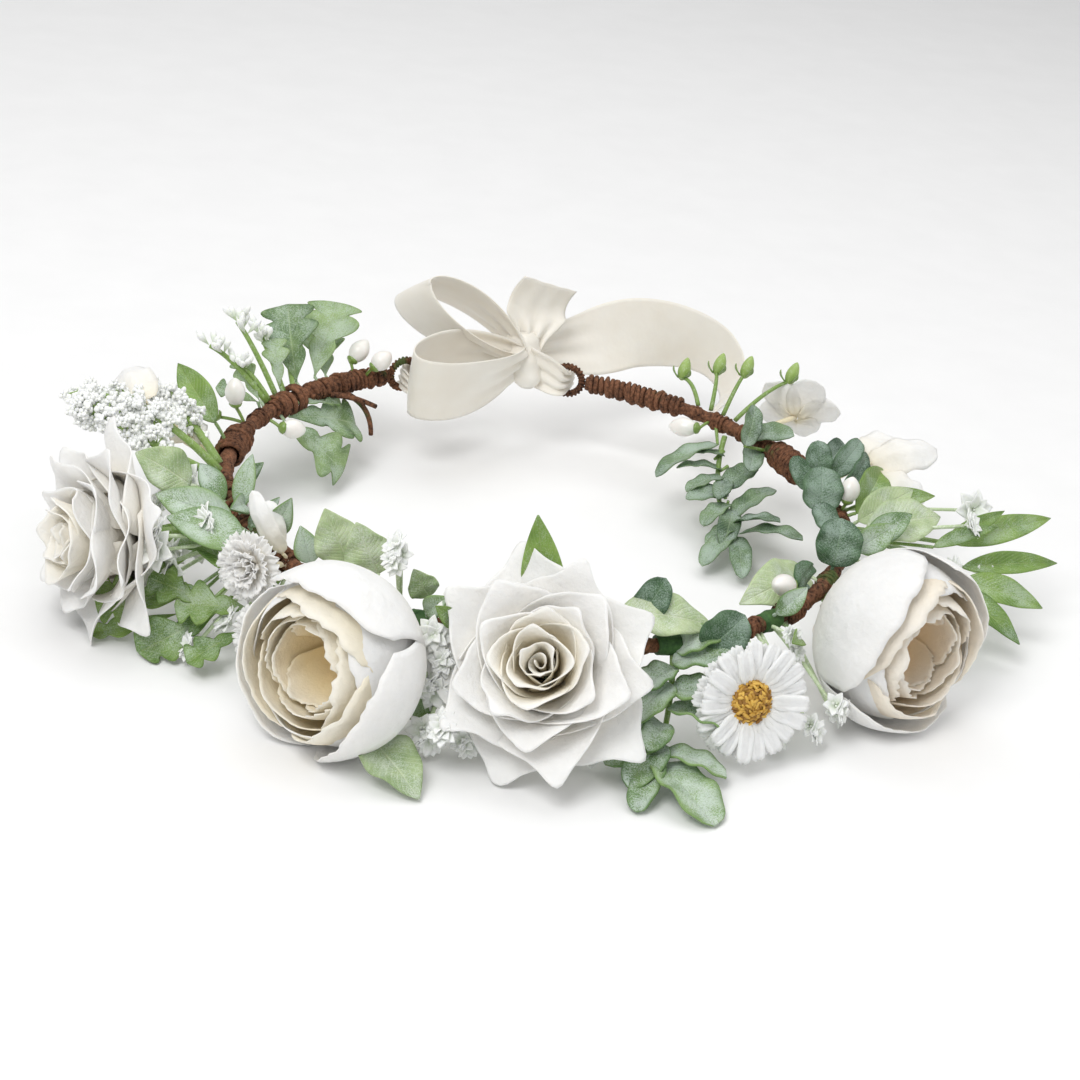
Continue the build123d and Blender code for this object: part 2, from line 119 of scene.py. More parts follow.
# ---- mesh making ----
class Bag:
    """Collects the patches of one piece, in millimetres, and turns them into one mesh."""

    def __init__(self):
        self.verts, self.faces, self.tone, self.edge, self.pick = [], [], [], [], []
        self.count = 0

    def add(self, verts, faces, tone, edge, pick):
        self.verts.append(verts.reshape(-1, 3))
        self.faces.extend((faces + self.count).tolist())
        size = len(self.verts[-1])
        for store, value in ((self.tone, tone), (self.edge, edge), (self.pick, pick)):
            store.append(np.broadcast_to(np.asarray(value, float).reshape(-1), size)
                         if np.ndim(value) else np.full(size, float(value)))
        self.count += size

    def sheet(self, grid, thick=0.3, tone=0.5, edge=0.5, pick=None):
        """Adds a closed sheet: grid is (rows, columns, 3)."""
        rows, cols = grid.shape[:2]
        du, dv = np.gradient(grid, axis=1), np.gradient(grid, axis=0)
        normal = np.cross(du, dv)
        normal /= np.maximum(np.linalg.norm(normal, axis=2, keepdims=True), 1e-9)
        front, back = grid + normal * thick / 2, grid - normal * thick / 2
        index = np.arange(rows * cols).reshape(rows, cols)
        a, b, c, d = index[:-1, :-1], index[:-1, 1:], index[1:, 1:], index[1:, :-1]
        top = np.stack((a, b, c, d), -1).reshape(-1, 4)
        far = rows * cols
        under = top[:, ::-1] + far
        ring = np.concatenate((index[0, :], index[1:, -1], index[-1, -2::-1], index[-2:0:-1, 0]))
        nxt = np.roll(ring, -1)
        side = np.stack((nxt, ring, ring + far, nxt + far), -1)
        pick = rng.random() if pick is None else pick
        tone = np.broadcast_to(np.asarray(tone, float), (rows, cols)).reshape(-1)
        edge = np.broadcast_to(np.asarray(edge, float), (rows, cols)).reshape(-1)
        self.add(np.concatenate((front.reshape(-1, 3), back.reshape(-1, 3))),
                 np.concatenate((top, under, side)), np.tile(tone, 2), np.tile(edge, 2), pick)

    def tube(self, points, radius, sides=8, tone=0.5, pick=None, ridge=None):
        """Adds a tube with closed ends along points; ridge(row, angle) scales its radius."""
        points = np.asarray(points, float)
        rows = len(points)
        along = np.gradient(points, axis=0)
        along /= np.maximum(np.linalg.norm(along, axis=1, keepdims=True), 1e-9)
        side = np.cross(along[0], UP if abs(along[0][2]) < 0.9 else vec(1, 0, 0))
        radii = np.broadcast_to(np.asarray(radius, float), rows)
        angle = np.arange(sides) * 2 * np.pi / sides
        grid = np.zeros((rows, sides, 3))
        for row in range(rows):
            side = unit(side - along[row] * side.dot(along[row]))
            other = np.cross(along[row], side)
            scale = radii[row] * (ridge(row, angle) if ridge else 1.0)
            grid[row] = points[row] + (np.outer(np.cos(angle) * scale, side)
                                       + np.outer(np.sin(angle) * scale, other))
        index = np.arange(rows * sides).reshape(rows, sides)
        wrap = np.roll(index, -1, axis=1)
        quads = np.stack((index[:-1], wrap[:-1], wrap[1:], index[1:]), -1).reshape(-1, 4)
        caps = [rows * sides, rows * sides + 1]
        start = np.stack((wrap[0], index[0], np.full(sides, caps[0]), np.full(sides, caps[0])), -1)
        stop = np.stack((index[-1], wrap[-1], np.full(sides, caps[1]), np.full(sides, caps[1])), -1)
        verts = np.concatenate((grid.reshape(-1, 3), points[:1], points[-1:]))
        row_tone = np.broadcast_to(np.asarray(tone, float), rows)
        tones = np.concatenate((np.repeat(row_tone, sides), row_tone[:1], row_tone[-1:]))
        self.add(verts, np.concatenate((quads, start, stop)), tones, 0.5,
                 rng.random() if pick is None else pick)

    def egg(self, base, tip, width, rows=9, sides=10, rough=0.0, fat=0.5, tone=None, pick=None):
        """Adds an egg-shaped solid from base to tip; fat is where it is widest."""
        share = (1 - np.cos(np.linspace(0, np.pi, rows))) / 2
        bulge = np.sin(np.pi * share ** (np.log(0.5) / np.log(fat))) ** 0.62
        points = base + np.outer(share, tip - base)
        radii = np.maximum(bulge, 0.03) * width / 2
        bumps = 1 + rough * (rng.random((rows, sides)) - 0.5) if rough else None
        self.tube(points, radii, sides, share if tone is None else tone, pick,
                  (lambda row, angle: bumps[row]) if rough else None)

    def build(self, name, material, body, slot, *nodes, smooth=True):
        """Makes the mesh object, lets it ride on body and stand for the CAD nodes."""
        verts = np.concatenate(self.verts)
        low = verts[:, 2] < FLOOR + SOFT
        verts[low, 2] = FLOOR + SOFT * np.exp((verts[low, 2] - FLOOR - SOFT) / SOFT)
        mesh = bpy.data.meshes.new(name)
        faces = [f[:3] if f[2] == f[3] else f for f in self.faces]
        mesh.from_pydata((verts * MM).tolist(), [], faces)
        for label, values in (("tone", self.tone), ("edge", self.edge), ("pick", self.pick)):
            layer = mesh.attributes.new(label, "FLOAT", "POINT")
            layer.data.foreach_set("value", np.concatenate(values).astype(np.float32))
        mesh.materials.append(material)
        mesh.polygons.foreach_set("use_smooth", np.full(len(mesh.polygons), smooth))
        mesh.update()
        piece = bpy.data.objects.new(name, mesh)
        bpy.context.collection.objects.link(piece)
        if body:
            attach(piece, body)
        if nodes:
            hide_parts(*nodes)
        return piece


# ---- materials ----
class Nodes:
    """A short way to write a node material."""

    def __init__(self, name):
        self.material = bpy.data.materials.new(name)
        self.material.use_nodes = True
        self.tree = self.material.node_tree
        self.shader = self.tree.nodes["Principled BSDF"]
        self.place = self.add("ShaderNodeTexCoord").outputs["Object"]

    def add(self, kind, **values):
        node = self.tree.nodes.new(kind)
        for key, value in values.items():
            if key in node.inputs:
                if hasattr(value, "is_output"):
                    self.tree.links.new(value, node.inputs[key])
                else:
                    node.inputs[key].default_value = value
            else:
                setattr(node, key, value)
        return node

    def set(self, **values):
        """Sets the shader's own sockets, with underscores for spaces."""
        for key, value in values.items():
            self.shader.inputs[key.replace("_", " ")].default_value = value

    def link(self, output, socket):
        self.tree.links.new(output, self.shader.inputs[socket])

    def attribute(self, name):
        return self.add("ShaderNodeAttribute", attribute_name=name).outputs["Fac"]

    def noise(self, scale, detail=3.0, rough=0.6, vector=None):
        node = self.add("ShaderNodeTexNoise", Scale=scale, Detail=detail, Roughness=rough)
        self.tree.links.new(vector or self.place, node.inputs["Vector"])
        return node.outputs["Fac"]

    def maths(self, operation, a, b=0.0, clamp=False):
        node = self.add("ShaderNodeMath", operation=operation, use_clamp=clamp)
        for socket, value in zip(node.inputs, (a, b)):
            if hasattr(value, "is_output"):
                self.tree.links.new(value, socket)
            else:
                socket.default_value = value
        return node.outputs[0]

    def ramp(self, factor, *stops):
        node = self.add("ShaderNodeValToRGB")
        marks = node.color_ramp.elements
        while len(marks) < len(stops):
            marks.new(0.5)
        for mark, (place, colour) in zip(marks, stops):
            mark.position = place
            mark.color = (*colour, 1.0) if hasattr(colour, "__len__") else (colour, colour, colour, 1.0)
        self.tree.links.new(factor, node.inputs["Fac"])
        return node.outputs["Color"]

    def mix(self, factor, a, b, blend="MIX"):
        node = self.add("ShaderNodeMix", data_type="RGBA", blend_type=blend)
        for socket, value in ((node.inputs[0], factor), (node.inputs[6], a), (node.inputs[7], b)):
            if hasattr(value, "is_output"):
                self.tree.links.new(value, socket)
            elif hasattr(value, "__len__"):
                socket.default_value = (*value, 1.0)
            else:
                socket.default_value = value
        return node.outputs[2]

    def bump(self, height, distance, strength=1.0, normal=None):
        node = self.add("ShaderNodeBump", Distance=distance, Strength=strength)
        self.tree.links.new(height, node.inputs["Height"])
        if normal:
            self.tree.links.new(normal, node.inputs["Normal"])
        self.link(node.outputs["Normal"], "Normal")
        return node.outputs["Normal"]


def cloth_petal(name, deep, mid, tip, spread=(0.0, 0.35, 0.75)):
    """Pressed satin cloth, tinted from the foot of each petal to its edge."""
    n = Nodes(name)
    tint = n.ramp(n.attribute("tone"), *zip(spread, (deep, mid, tip)))
    patchy = n.ramp(n.noise(160.0, 2.0), (0.35, 0.93), (0.7, 1.0))
    n.link(n.mix(0.8, tint, patchy, "MULTIPLY"), "Base Color")
    creases = n.bump(n.noise(330.0, 3.0, 0.55), 0.0009, 0.55)
    n.bump(n.noise(4200.0, 2.0, 0.7), 0.00014, 0.5, creases)
    n.set(Roughness=0.72, Sheen_Weight=0.12, Subsurface_Weight=0.22, Subsurface_Radius=(0.006, 0.005, 0.004),
          Subsurface_Scale=0.5, Specular_IOR_Level=0.25)
    return n.material


def printed_leaf(name, dark, light, vein, frost=0.0, frost_tint=(0.78, 0.84, 0.80), gloss=0.55):
    """A leaf with a pale midrib and side veins, under a dusting of white frost."""
    n = Nodes(name)
    along, across = n.attribute("tone"), n.attribute("edge")
    shade = n.maths("ADD", n.noise(130.0, 3.0), n.maths("MULTIPLY", n.attribute("pick"), 0.35))
    green = n.ramp(n.maths("SUBTRACT", shade, 0.12), (0.3, dark), (0.75, light))
    phase = n.maths("SUBTRACT", n.maths("MULTIPLY", along, 44.0), n.maths("MULTIPLY", across, 11.0))
    ribs = n.maths("POWER", n.maths("ABSOLUTE", n.maths("SINE", phase)), 10.0)
    midrib = n.maths("SUBTRACT", 1.0, n.maths("MULTIPLY", across, 14.0), True)
    veins = n.maths("MAXIMUM", n.maths("MULTIPLY", ribs, 0.35), midrib)
    colour = n.mix(n.maths("MULTIPLY", veins, 0.7), green, vein)
    dust = n.maths("ADD", n.noise(2700.0, 4.0, 0.85), n.maths("MULTIPLY", n.noise(120.0, 2.0), 0.6))
    mask = n.ramp(dust, (0.80 - 0.15 * frost, 0.0), (0.95 - 0.15 * frost, min(1.0, 0.35 + 0.6 * frost)))
    bare_edge = n.maths("SUBTRACT", 1.0, n.maths("POWER", across, 5.0), True)
    n.link(n.mix(n.maths("MULTIPLY", mask, bare_edge), colour, frost_tint), "Base Color")
    grain = n.bump(n.noise(1500.0, 3.0, 0.8), 0.0004, 0.2 + 0.5 * frost)
    n.bump(n.maths("MULTIPLY", veins, -1.0), 0.0005, 0.5, grain)
    n.set(Roughness=gloss, Subsurface_Weight=0.1, Subsurface_Radius=(0.003, 0.005, 0.002),
          Subsurface_Scale=0.4)
    return n.material


def fibre(name, dark, light, roughness=0.85, grain=900.0, lift=0.0006, moss=0.7):
    """Twisted paper twine or tape with fine fibres, stained green here and there."""
    n = Nodes(name)
    fuzz = n.noise(grain, 4.0, 0.75)
    blotch = n.noise(140.0, 2.0)
    shade = n.maths("ADD", n.maths("MULTIPLY", fuzz, 0.75), n.maths("MULTIPLY", blotch, 0.35))
    colour = n.ramp(shade, (0.40, dark), (0.74, light))
    n.link(n.mix(n.ramp(n.noise(75.0, 3.0), (0.60, 0.0), (0.66, moss)), colour, (0.07, 0.14, 0.04)),
           "Base Color")
    n.bump(fuzz, lift, 0.8)
    n.set(Roughness=roughness, Specular_IOR_Level=0.3)
    return n.material


def moulded(name, low, high, roughness=0.45, frost=0.0):
    """Small moulded plastic piece, tinted from foot to tip."""
    n = Nodes(name)
    tint = n.ramp(n.attribute("tone"), (0.05, low), (0.75, high))
    dust = n.ramp(n.noise(1100.0, 4.0, 0.8), (0.52, 0.0), (0.62, frost))
    n.link(n.mix(dust, tint, (0.93, 0.95, 0.93)), "Base Color")
    n.bump(n.noise(1300.0, 3.0, 0.7), 0.0003, 0.25 + frost * 0.4)
    n.set(Roughness=roughness, Subsurface_Weight=0.12, Subsurface_Radius=(0.003, 0.003, 0.002),
          Subsurface_Scale=0.4)
    return n.material


def satin(name):
    """Ivory satin ribbon with a fine cross weave."""
    n = Nodes(name)
    threads = n.noise(3800.0, 2.0, 0.7)
    n.link(n.ramp(n.noise(70.0, 2.0), (0.3, (0.85, 0.80, 0.71)), (0.7, (0.90, 0.865, 0.79))), "Base Color")
    soft = n.bump(n.noise(220.0, 2.0), 0.0006, 0.3)
    n.bump(threads, 0.0001, 0.25, soft)
    n.set(Roughness=0.42, Sheen_Weight=0.25, Subsurface_Weight=0.12, Subsurface_Radius=(0.005, 0.004, 0.003),
          Subsurface_Scale=0.4, Specular_IOR_Level=0.4)
    return n.material


def pearl(name):
    """Pearly berry with a faint mottle."""
    n = Nodes(name)
    shell = n.ramp(n.noise(300.0, 3.0), (0.3, (0.86, 0.83, 0.78)), (0.7, (0.92, 0.905, 0.87)))
    n.link(n.mix(n.ramp(n.attribute("tone"), (0.4, 0.0), (0.6, 1.0)), (0.20, 0.31, 0.07), shell),
           "Base Color")
    n.bump(n.noise(500.0, 2.0), 0.0002, 0.2)
    n.set(Roughness=0.3, Coat_Weight=0.25, Coat_Roughness=0.2, Subsurface_Weight=0.2,
          Subsurface_Radius=(0.004, 0.003, 0.003), Subsurface_Scale=0.4)
    return n.material


def pollen(name):
    """Grains from dark umber to gold."""
    n = Nodes(name)
    n.link(n.ramp(n.attribute("pick"), (0.0, (0.20, 0.085, 0.012)), (0.5, (0.46, 0.24, 0.03)),
                  (1.0, (0.78, 0.50, 0.10))), "Base Color")
    n.bump(n.noise(1800.0, 3.0), 0.0003, 0.4)
    n.set(Roughness=0.5)
    return n.material


def wire_metal(name):
    n = Nodes(name)
    n.link(n.ramp(n.noise(400.0), (0.3, 0.3), (0.7, 0.42)), "Base Color")
    n.set(Metallic=1.0, Roughness=0.4)
    return n.material


PETAL = cloth_petal("white_petal", (0.82, 0.70, 0.44), (0.90, 0.85, 0.74), (0.93, 0.92, 0.895))
PEONY_IN = cloth_petal("cream_petal", (0.90, 0.64, 0.28), (0.94, 0.80, 0.52), (0.93, 0.90, 0.81),
                       (0.0, 0.62, 0.98))
BLUSH = cloth_petal("blush_petal", (0.94, 0.64, 0.34), (0.95, 0.79, 0.56), (0.93, 0.89, 0.81),
                    (0.0, 0.62, 0.98))
DAISY = cloth_petal("daisy_ray", (0.80, 0.82, 0.58), (0.92, 0.915, 0.87), (0.93, 0.93, 0.915),
                    (0.0, 0.3, 0.7))
HEART = cloth_petal("cream_heart", (0.92, 0.74, 0.42), (0.94, 0.86, 0.68), (0.93, 0.915, 0.87),
                    (0.0, 0.5, 0.95))
SAGE = printed_leaf("sage_leaf", (0.05, 0.10, 0.05), (0.18, 0.27, 0.13), (0.34, 0.44, 0.27), 0.5,
                    (0.50, 0.60, 0.54))
LOBED = printed_leaf("lobed_leaf", (0.08, 0.15, 0.045), (0.28, 0.39, 0.16), (0.38, 0.48, 0.26), 0.45,
                     (0.55, 0.65, 0.57))
PALE = printed_leaf("pale_leaf", (0.24, 0.34, 0.15), (0.50, 0.60, 0.34), (0.62, 0.70, 0.46), 0.3)
BLADE = printed_leaf("green_blade", (0.07, 0.15, 0.02), (0.22, 0.34, 0.07), (0.36, 0.47, 0.17), 0.2,
                     (0.60, 0.70, 0.60), 0.4)
FROSTED = printed_leaf("frosted_leaf", (0.08, 0.17, 0.05), (0.22, 0.34, 0.12), (0.30, 0.42, 0.18), 0.75,
                       (0.62, 0.71, 0.65))
DUSKY = printed_leaf("dusky_leaf", (0.018, 0.06, 0.025), (0.075, 0.15, 0.07), (0.16, 0.26, 0.14), 0.5,
                     (0.40, 0.50, 0.44))
TWINE = fibre("brown_twine", (0.014, 0.006, 0.004), (0.33, 0.145, 0.075))
TAPE = fibre("green_tape", (0.015, 0.05, 0.015), (0.08, 0.18, 0.05), 0.6, 400.0, 0.0004)
STEM = moulded("green_stem", (0.13, 0.24, 0.04), (0.33, 0.47, 0.13), 0.45, 0.2)
FLORET = moulded("white_floret", (0.50, 0.62, 0.36), (0.90, 0.915, 0.89), 0.6, 0.5)
FOAM = moulded("foam_grain", (0.85, 0.87, 0.83), (0.93, 0.94, 0.92), 0.75, 0.6)
RIBBON = satin("ivory_satin")
PEARL = pearl("pearl_berry")
POLLEN = pollen("pollen_grain")
WIRE = wire_metal("core_wire")


# ---- shapes ----
def petal(bag, head, turn, foot, length, leans, width, claw=0.35, drop=0.35, point=0.0, wrap=1.0, bend=1.0,
          ruffle=0.0, waves=3.0, roll=0.0, corner=0.0, fray=0.0, thick=0.32, tones=(0.0, 1.0), rows=15,
          cols=15):
    """Adds a fan-shaped petal. foot is (radius, height) on the head's axis, leans the angles from the
    axis at foot and lip, drop rounds the corners, point draws out the tip, wrap 1 hugs the axis."""
    v = np.linspace(0, 1, rows)[:, None]
    u = np.linspace(-1, 1, cols)[None, :]
    fine = np.linspace(0, 1, 60)
    lean = np.radians(leans[0] + (leans[1] - leans[0]) * fine ** bend + roll * fine ** 6)
    step = length / 59
    out = foot[0] + np.concatenate(([0], np.cumsum(np.sin(lean[:-1])) * step))
    rise = foot[1] + np.concatenate(([0], np.cumsum(np.cos(lean[:-1])) * step))
    lip = 1 - drop * np.abs(u) ** 3 + point * np.exp(-(u / 0.2) ** 2)
    if fray:
        lip = lip + fray * (rng.random((1, cols)) - 0.5)
    s = np.clip(v * lip / (1 + point), 0, 1)
    r, h = np.interp(s, fine, out), np.interp(s, fine, rise)
    tilt = np.interp(s, fine, lean)
    half = width / 2 * (claw + (1 - claw) * np.sin(np.pi / 2 * np.minimum(v * 1.25, 1)))
    radius = np.maximum(r, width * 0.3) / max(wrap, 0.05)
    azimuth = u * half / radius
    phase = rng.random() * 6.28
    lift = ruffle * v ** 2 * (0.35 + 0.65 * np.abs(u)) * np.sin(waves * np.pi * u + phase)
    lift = lift + corner * np.abs(u) ** 3 * v ** 2
    inward = radius * (1 - np.cos(azimuth))
    pr = r - inward + lift * np.cos(tilt)
    ph = h - lift * np.sin(tilt)
    pt = radius * np.sin(azimuth)
    a = radians(turn)
    local = np.stack((pr * cos(a) - pt * sin(a), pr * sin(a) + pt * cos(a), ph), -1)
    tone = tones[0] + (tones[1] - tones[0]) * s
    edge = np.maximum(np.abs(u) + 0 * v, v + 0 * u)
    bag.sheet(head.place(local), thick, tone, edge)


def outline(shape, v):
    """Half width of a leaf, 0 to 1, from base to tip."""
    if shape == "round":
        return np.clip(1 - np.abs(2 * v ** 0.9 - 1) ** 2.5, 0, 1) ** 0.5
    if shape == "lobed":
        envelope = np.clip(1 - np.abs(2 * v ** 1.25 - 1) ** 2.6, 0, 1) ** 0.6
        lobes = 0.42 + 0.58 * np.abs(np.cos(np.pi * (3.0 * v - 0.5))) ** 0.8
        return envelope * lobes * (0.3 + 0.7 * np.minimum(v * 1.8, 1))
    if shape == "notched":
        return np.clip(np.minimum(v * 2.6, 1), 0.25, 1) * (1 - 0.15 * v ** 8)
    return np.sin(np.pi * np.clip(v, 0, 1) ** 0.8) ** 0.85


def leaf(bag, base, tip, width, face=UP, shape="pointed", fold=0.18, arch=0.1, curl=0.0, wave=0.0, thick=0.3,
         rows=17, cols=9, ribs=0.0, tones=(0.0, 1.0)):
    """Adds a leaf or a plain petal from base to tip, its upper side towards face."""
    length = np.linalg.norm(tip - base)
    e = (tip - base) / length
    n = unit(face - e * face.dot(e))
    side = np.cross(n, e)
    v = np.linspace(0, 1, rows)[:, None]
    u = np.linspace(-1, 1, cols)[None, :]
    half = np.maximum(outline(shape, v), 0.03) * width / 2
    forward = 0.14 * np.abs(u) * np.sin(np.pi * v) if shape == "lobed" else 0 * u
    if shape == "notched":
        forward = 0.05 * np.abs(np.sin(1.5 * np.pi * u)) * v ** 4 - 0.06 * np.abs(u) ** 4 * v
    lift = fold * np.abs(u) * half + arch * length * 4 * v * (1 - v) - curl * length * v ** 3
    lift = lift + wave * half * np.sin(5 * np.pi * v + 6 * rng.random()) * np.abs(u)
    lift = lift + ribs * np.cos(3 * np.pi * u) * np.minimum(2 * v, 1)
    grid = (base + e * (v + forward)[..., None] * length + side * (u * half)[..., None] + n * lift[..., None])
    bag.sheet(grid, thick, tones[0] + (tones[1] - tones[0]) * v + 0 * u, np.abs(u) + 0 * v)


def curve(*points, count=14):
    """Smooth points through three or more given points."""
    points = np.array(points, float)
    knots = np.linspace(0, 1, len(points))
    if len(points) == 2:
        return points[0] + np.linspace(0, 1, count)[:, None] * (points[1] - points[0])
    t = np.linspace(0, 1, count)
    out = []
    for axis in range(3):
        out.append(np.polyval(np.polyfit(knots, points[:, axis], min(3, len(points) - 1)), t))
    return np.stack(out, -1)


def twig(bag, points, radius, taper=0.75, count=14, sides=7, tone=0.3):
    """Adds a slightly tapered stalk."""
    path = curve(*points, count=count)
    bag.tube(path, np.linspace(radius, radius * taper, count), sides, tone)


def hoop_line(start, stop, count, wobble=0.0):
    phis = np.linspace(start, stop, count)
    drift = wobble * np.stack((np.sin(phis * 0.21), np.cos(phis * 0.33)), -1)
    return np.array([rim(p, d[0], d[1]) for p, d in zip(phis, drift)])


def vine(bag, start, stop, radius, twist=2.4, wobble=0.0):
    """Adds a bark-like rope of twisted paper along the hoop."""
    count = int(abs(stop - start) * 2.4) + 4
    points = hoop_line(start, stop, count, wobble)
    knobs = 1 + 0.10 * np.sin(np.arange(count) * 0.55) + 0.08 * (rng.random(count) - 0.5)

    def ridge(row, angle):
        return 0.92 + 0.12 * np.abs(np.sin(1.5 * angle + row * 0.35 * twist)) + 0.05 * np.sin(5 * angle + row)

    bag.tube(points, radius * knobs, 18, 0.5, None, ridge)


def winding(bag, start, stop, radius, strand=0.75, pitch=1.45, jitter=0.14):
    """Winds a strand of twine round the hoop."""
    arc = abs(stop - start) * np.pi / 180 * HOOP_R
    turns = arc / pitch
    count = int(turns * 14) + 2
    t = np.linspace(0, 1, count)
    angle = t * turns * 2 * np.pi * (1 if stop > start else -1)
    slow = np.interp(t, np.linspace(0, 1, int(turns * 2) + 2), rng.random(int(turns * 2) + 2) - 0.5)
    points = []
    for share, a, s in zip(t, angle, slow):
        phi = start + (stop - start) * share + s * jitter * 4
        r = radius - strand * 0.4 + s * jitter * 3
        points.append(rim(phi) + heading(phi) * cos(a) * r + UP * sin(a) * r)
    bag.tube(np.array(points), strand * (1 + 0.25 * slow), 7, 0.5)


def floret(bag, head, radius, petals=5, point=0.4, cup=0.35, thick=0.35, tones=(0.35, 1.0)):
    """Adds a small open flower of plain petals."""
    for k in range(petals):
        turn = k * 360 / petals + rng.random() * 12
        out = head.outward(turn)
        base = head.o + out * radius * 0.06
        tip = head.o + out * radius + head.z * radius * cup * (0.7 + 0.6 * rng.random())
        leaf(bag, base, tip, radius * 0.72, head.z - out * 0.4, "pointed" if point > 0.3 else "round",
             0.25, 0.06, 0.0, 0.0, thick, 7, 5, tones=tones)


def crumb_cluster(bag, centre, radius, count, size, rough=0.5, tone=(0.4, 1.0)):
    """Adds a ball-shaped cluster of rough grains."""
    for k in range(count):
        z = 1 - 2 * (k + 0.5) / count
        a = k * 2.39996
        way = vec(np.sqrt(1 - z * z) * cos(a), np.sqrt(1 - z * z) * sin(a), z)
        middle = centre + way * radius * (0.75 + 0.35 * rng.random())
        grain = size * (0.7 + 0.6 * rng.random())
        bag.egg(middle - way * grain * 0.5, middle + way * grain * 0.6, grain, 5, 6, rough,
                tone=tone[0] + (tone[1] - tone[0]) * rng.random())


# ---- hoop, twine and bindings ----
def make_hoop():
    front = Bag()
    half_end = 0.26
    vine(front, FLEX_AT + half_end, 360 - FLEX_AT - half_end, TWINE_R * 0.95)
    for phi in range(84, 278, 13):
        winding(front, phi, phi + 3 + 4 * rng.random(), TWINE_R + 0.35, 0.5, 1.6)
    front.build("front_vine", TWINE, "crown_front", "brown_twine", "front_twine")
    for side, sign in (("right", 1), ("left", -1)):
        arm = Bag()
        vine(arm, sign * (GAP_HALF + 0.3), sign * (FLEX_AT - half_end), TWINE_R * 0.95)
        winding(arm, sign * (GAP_HALF + 1), sign * (GAP_HALF + 21), COIL_R - 0.25, 0.8, 1.75)
        winding(arm, sign * (GAP_HALF + 4), sign * (GAP_HALF + 17), COIL_R + 0.1, 0.55, 3.6, 0.25)
        for phi in (50, 57, 64):
            winding(arm, sign * phi, sign * (phi + 3.5), TWINE_R + 0.3, 0.5, 1.3)
        if side == "left":
            winding(arm, -45, -52, COIL_R + 0.7, 0.8, 1.5, 0.3)
        arm.build(f"{side}_vine", TWINE, f"{side}_arm", "brown_twine", f"{side}_arm_twine")

        ring = Bag()
        centre, across, tall = middle(f"{side}_eyelet"), heading(sign * GAP_HALF + 90), UP
        t = np.linspace(0, 2 * np.pi, 40)
        loop = centre + EYELET_R * (np.outer(np.cos(t), across) + np.outer(np.sin(t), tall))
        ring.tube(loop, EYELET_CORD_R, 8, 0.5)
        coils = np.linspace(0, 2 * np.pi, 360)
        out = np.outer(np.cos(coils), across) + np.outer(np.sin(coils), tall)
        face = np.cross(across, tall)
        spin = coils * 26
        wrap = centre + out * (EYELET_R + EYELET_CORD_R * np.cos(spin))[:, None]
        wrap = wrap + np.outer(EYELET_CORD_R * np.sin(spin), face)
        ring.tube(wrap, 0.42, 6, 0.5)
        ring.build(f"{side}_eyelet_ring", TWINE, f"{side}_arm", "brown_twine", f"{side}_eyelet")

        sleeve = Bag()
        winding(sleeve, sign * (FLEX_AT - 4), sign * (FLEX_AT + 5), COIL_R + 0.95, 0.72, 1.4, 0.08)
        winding(sleeve, sign * (FLEX_AT + 4.5), sign * (FLEX_AT - 3.4), COIL_R + 1.3, 0.5, 3.4, 0.2)
        sleeve.build(f"{side}_binding", TWINE, "crown_front", "brown_twine", f"{side}_flex_binding")

    bindings = Bag()
    for phi in (95, 137, -122, -100):
        winding(bindings, phi, phi + 5, COIL_R + 0.1, 0.7, 1.4, 0.2)
    bindings.build("twine_bindings", TWINE, "crown_front", "brown_twine", "brown_bindings")

    tape = Bag()
    for phi in (144, 166, -152, -133):
        points = hoop_line(phi, phi + 4, 9)
        tape.tube(points, COIL_R - 0.2, 14, 0.5, None,
                  lambda row, angle: 1 + 0.07 * np.sin(2 * angle + row * 0.9))
    tape.build("tape_bands", TAPE, "crown_front", "green_tape", "green_tape")


# ---- peonies ----
def make_peony(name, head, radius, inner_material):
    """A round bud: broad cupped petals outside, and torn nested ones in its mouth."""
    outer = Bag()
    for layer, (shrink, count, lip) in enumerate(((0.99, 3, -34), (0.93, 3, -44))):
        for k in range(count):
            petal(outer, head, k * 360 / count + layer * 58 + 12, (1.5, -radius * 0.97),
                  radius * 2.0 * shrink,
                  (94, lip), radius * (2.05 - 0.1 * layer), 0.3, 0.2, 0.03, 1.0, 1.0, 0.5, 3.0, 0.0, 0.3,
                  0.02,
                  tones=(0.35, 1.0), rows=26, cols=25)
    outer.build(f"{name}_cup", PETAL, "crown_front", "white_petal", f"{name}_outer_petals")

    inner = Bag()
    for ring, (size, lean, count, fray) in enumerate(
            ((0.88, -40, 3, 0.03), (0.76, -40, 3, 0.04), (0.62, -36, 3, 0.05), (0.48, -28, 3, 0.05),
             (0.3, -12, 3, 0.06))):
        for k in range(count):
            petal(inner, head, k * 360 / count + ring * 41, (1.5, -radius * 0.84),
                  radius * (1.78 - 0.15 * ring),
                  (86 - ring * 9, lean), radius * 1.95 * size + 4, 0.3, 0.22, 0.05, 1.0, 1.0,
                  0.45, 2.6, 8.0, 0.3, fray, tones=(0.0, 0.95), rows=22, cols=31)
    inner.build(f"{name}_mouth", inner_material, "crown_front", "white_petal", f"{name}_inner_petals")

    cup = Bag()
    for k in range(5):
        petal(cup, head, k * 72, (0.5, -radius - 4.6), 11, (28, 78), 8, 0.5, 0.9, 0.15, 0.8,
              tones=(0.1, 0.6), rows=8,
              cols=7)
    stem_to_hoop(cup, head.o - head.z * (radius + 3.5), 1.5)
    cup.build(f"{name}_sepals", STEM, "crown_front", "green_stem", f"{name}_calyx")


def stem_to_hoop(bag, foot, radius):
    """Adds a stem from the hoop's nearest point to the foot of a head."""
    centre = unit(foot * vec(1, 1, 0)) * HOOP_R
    twig(bag, (centre + unit(foot - centre) * (TWINE_R - 0.4), foot + (centre - foot) * 0.45 - UP * 0.4,
               foot), radius,
         0.9)


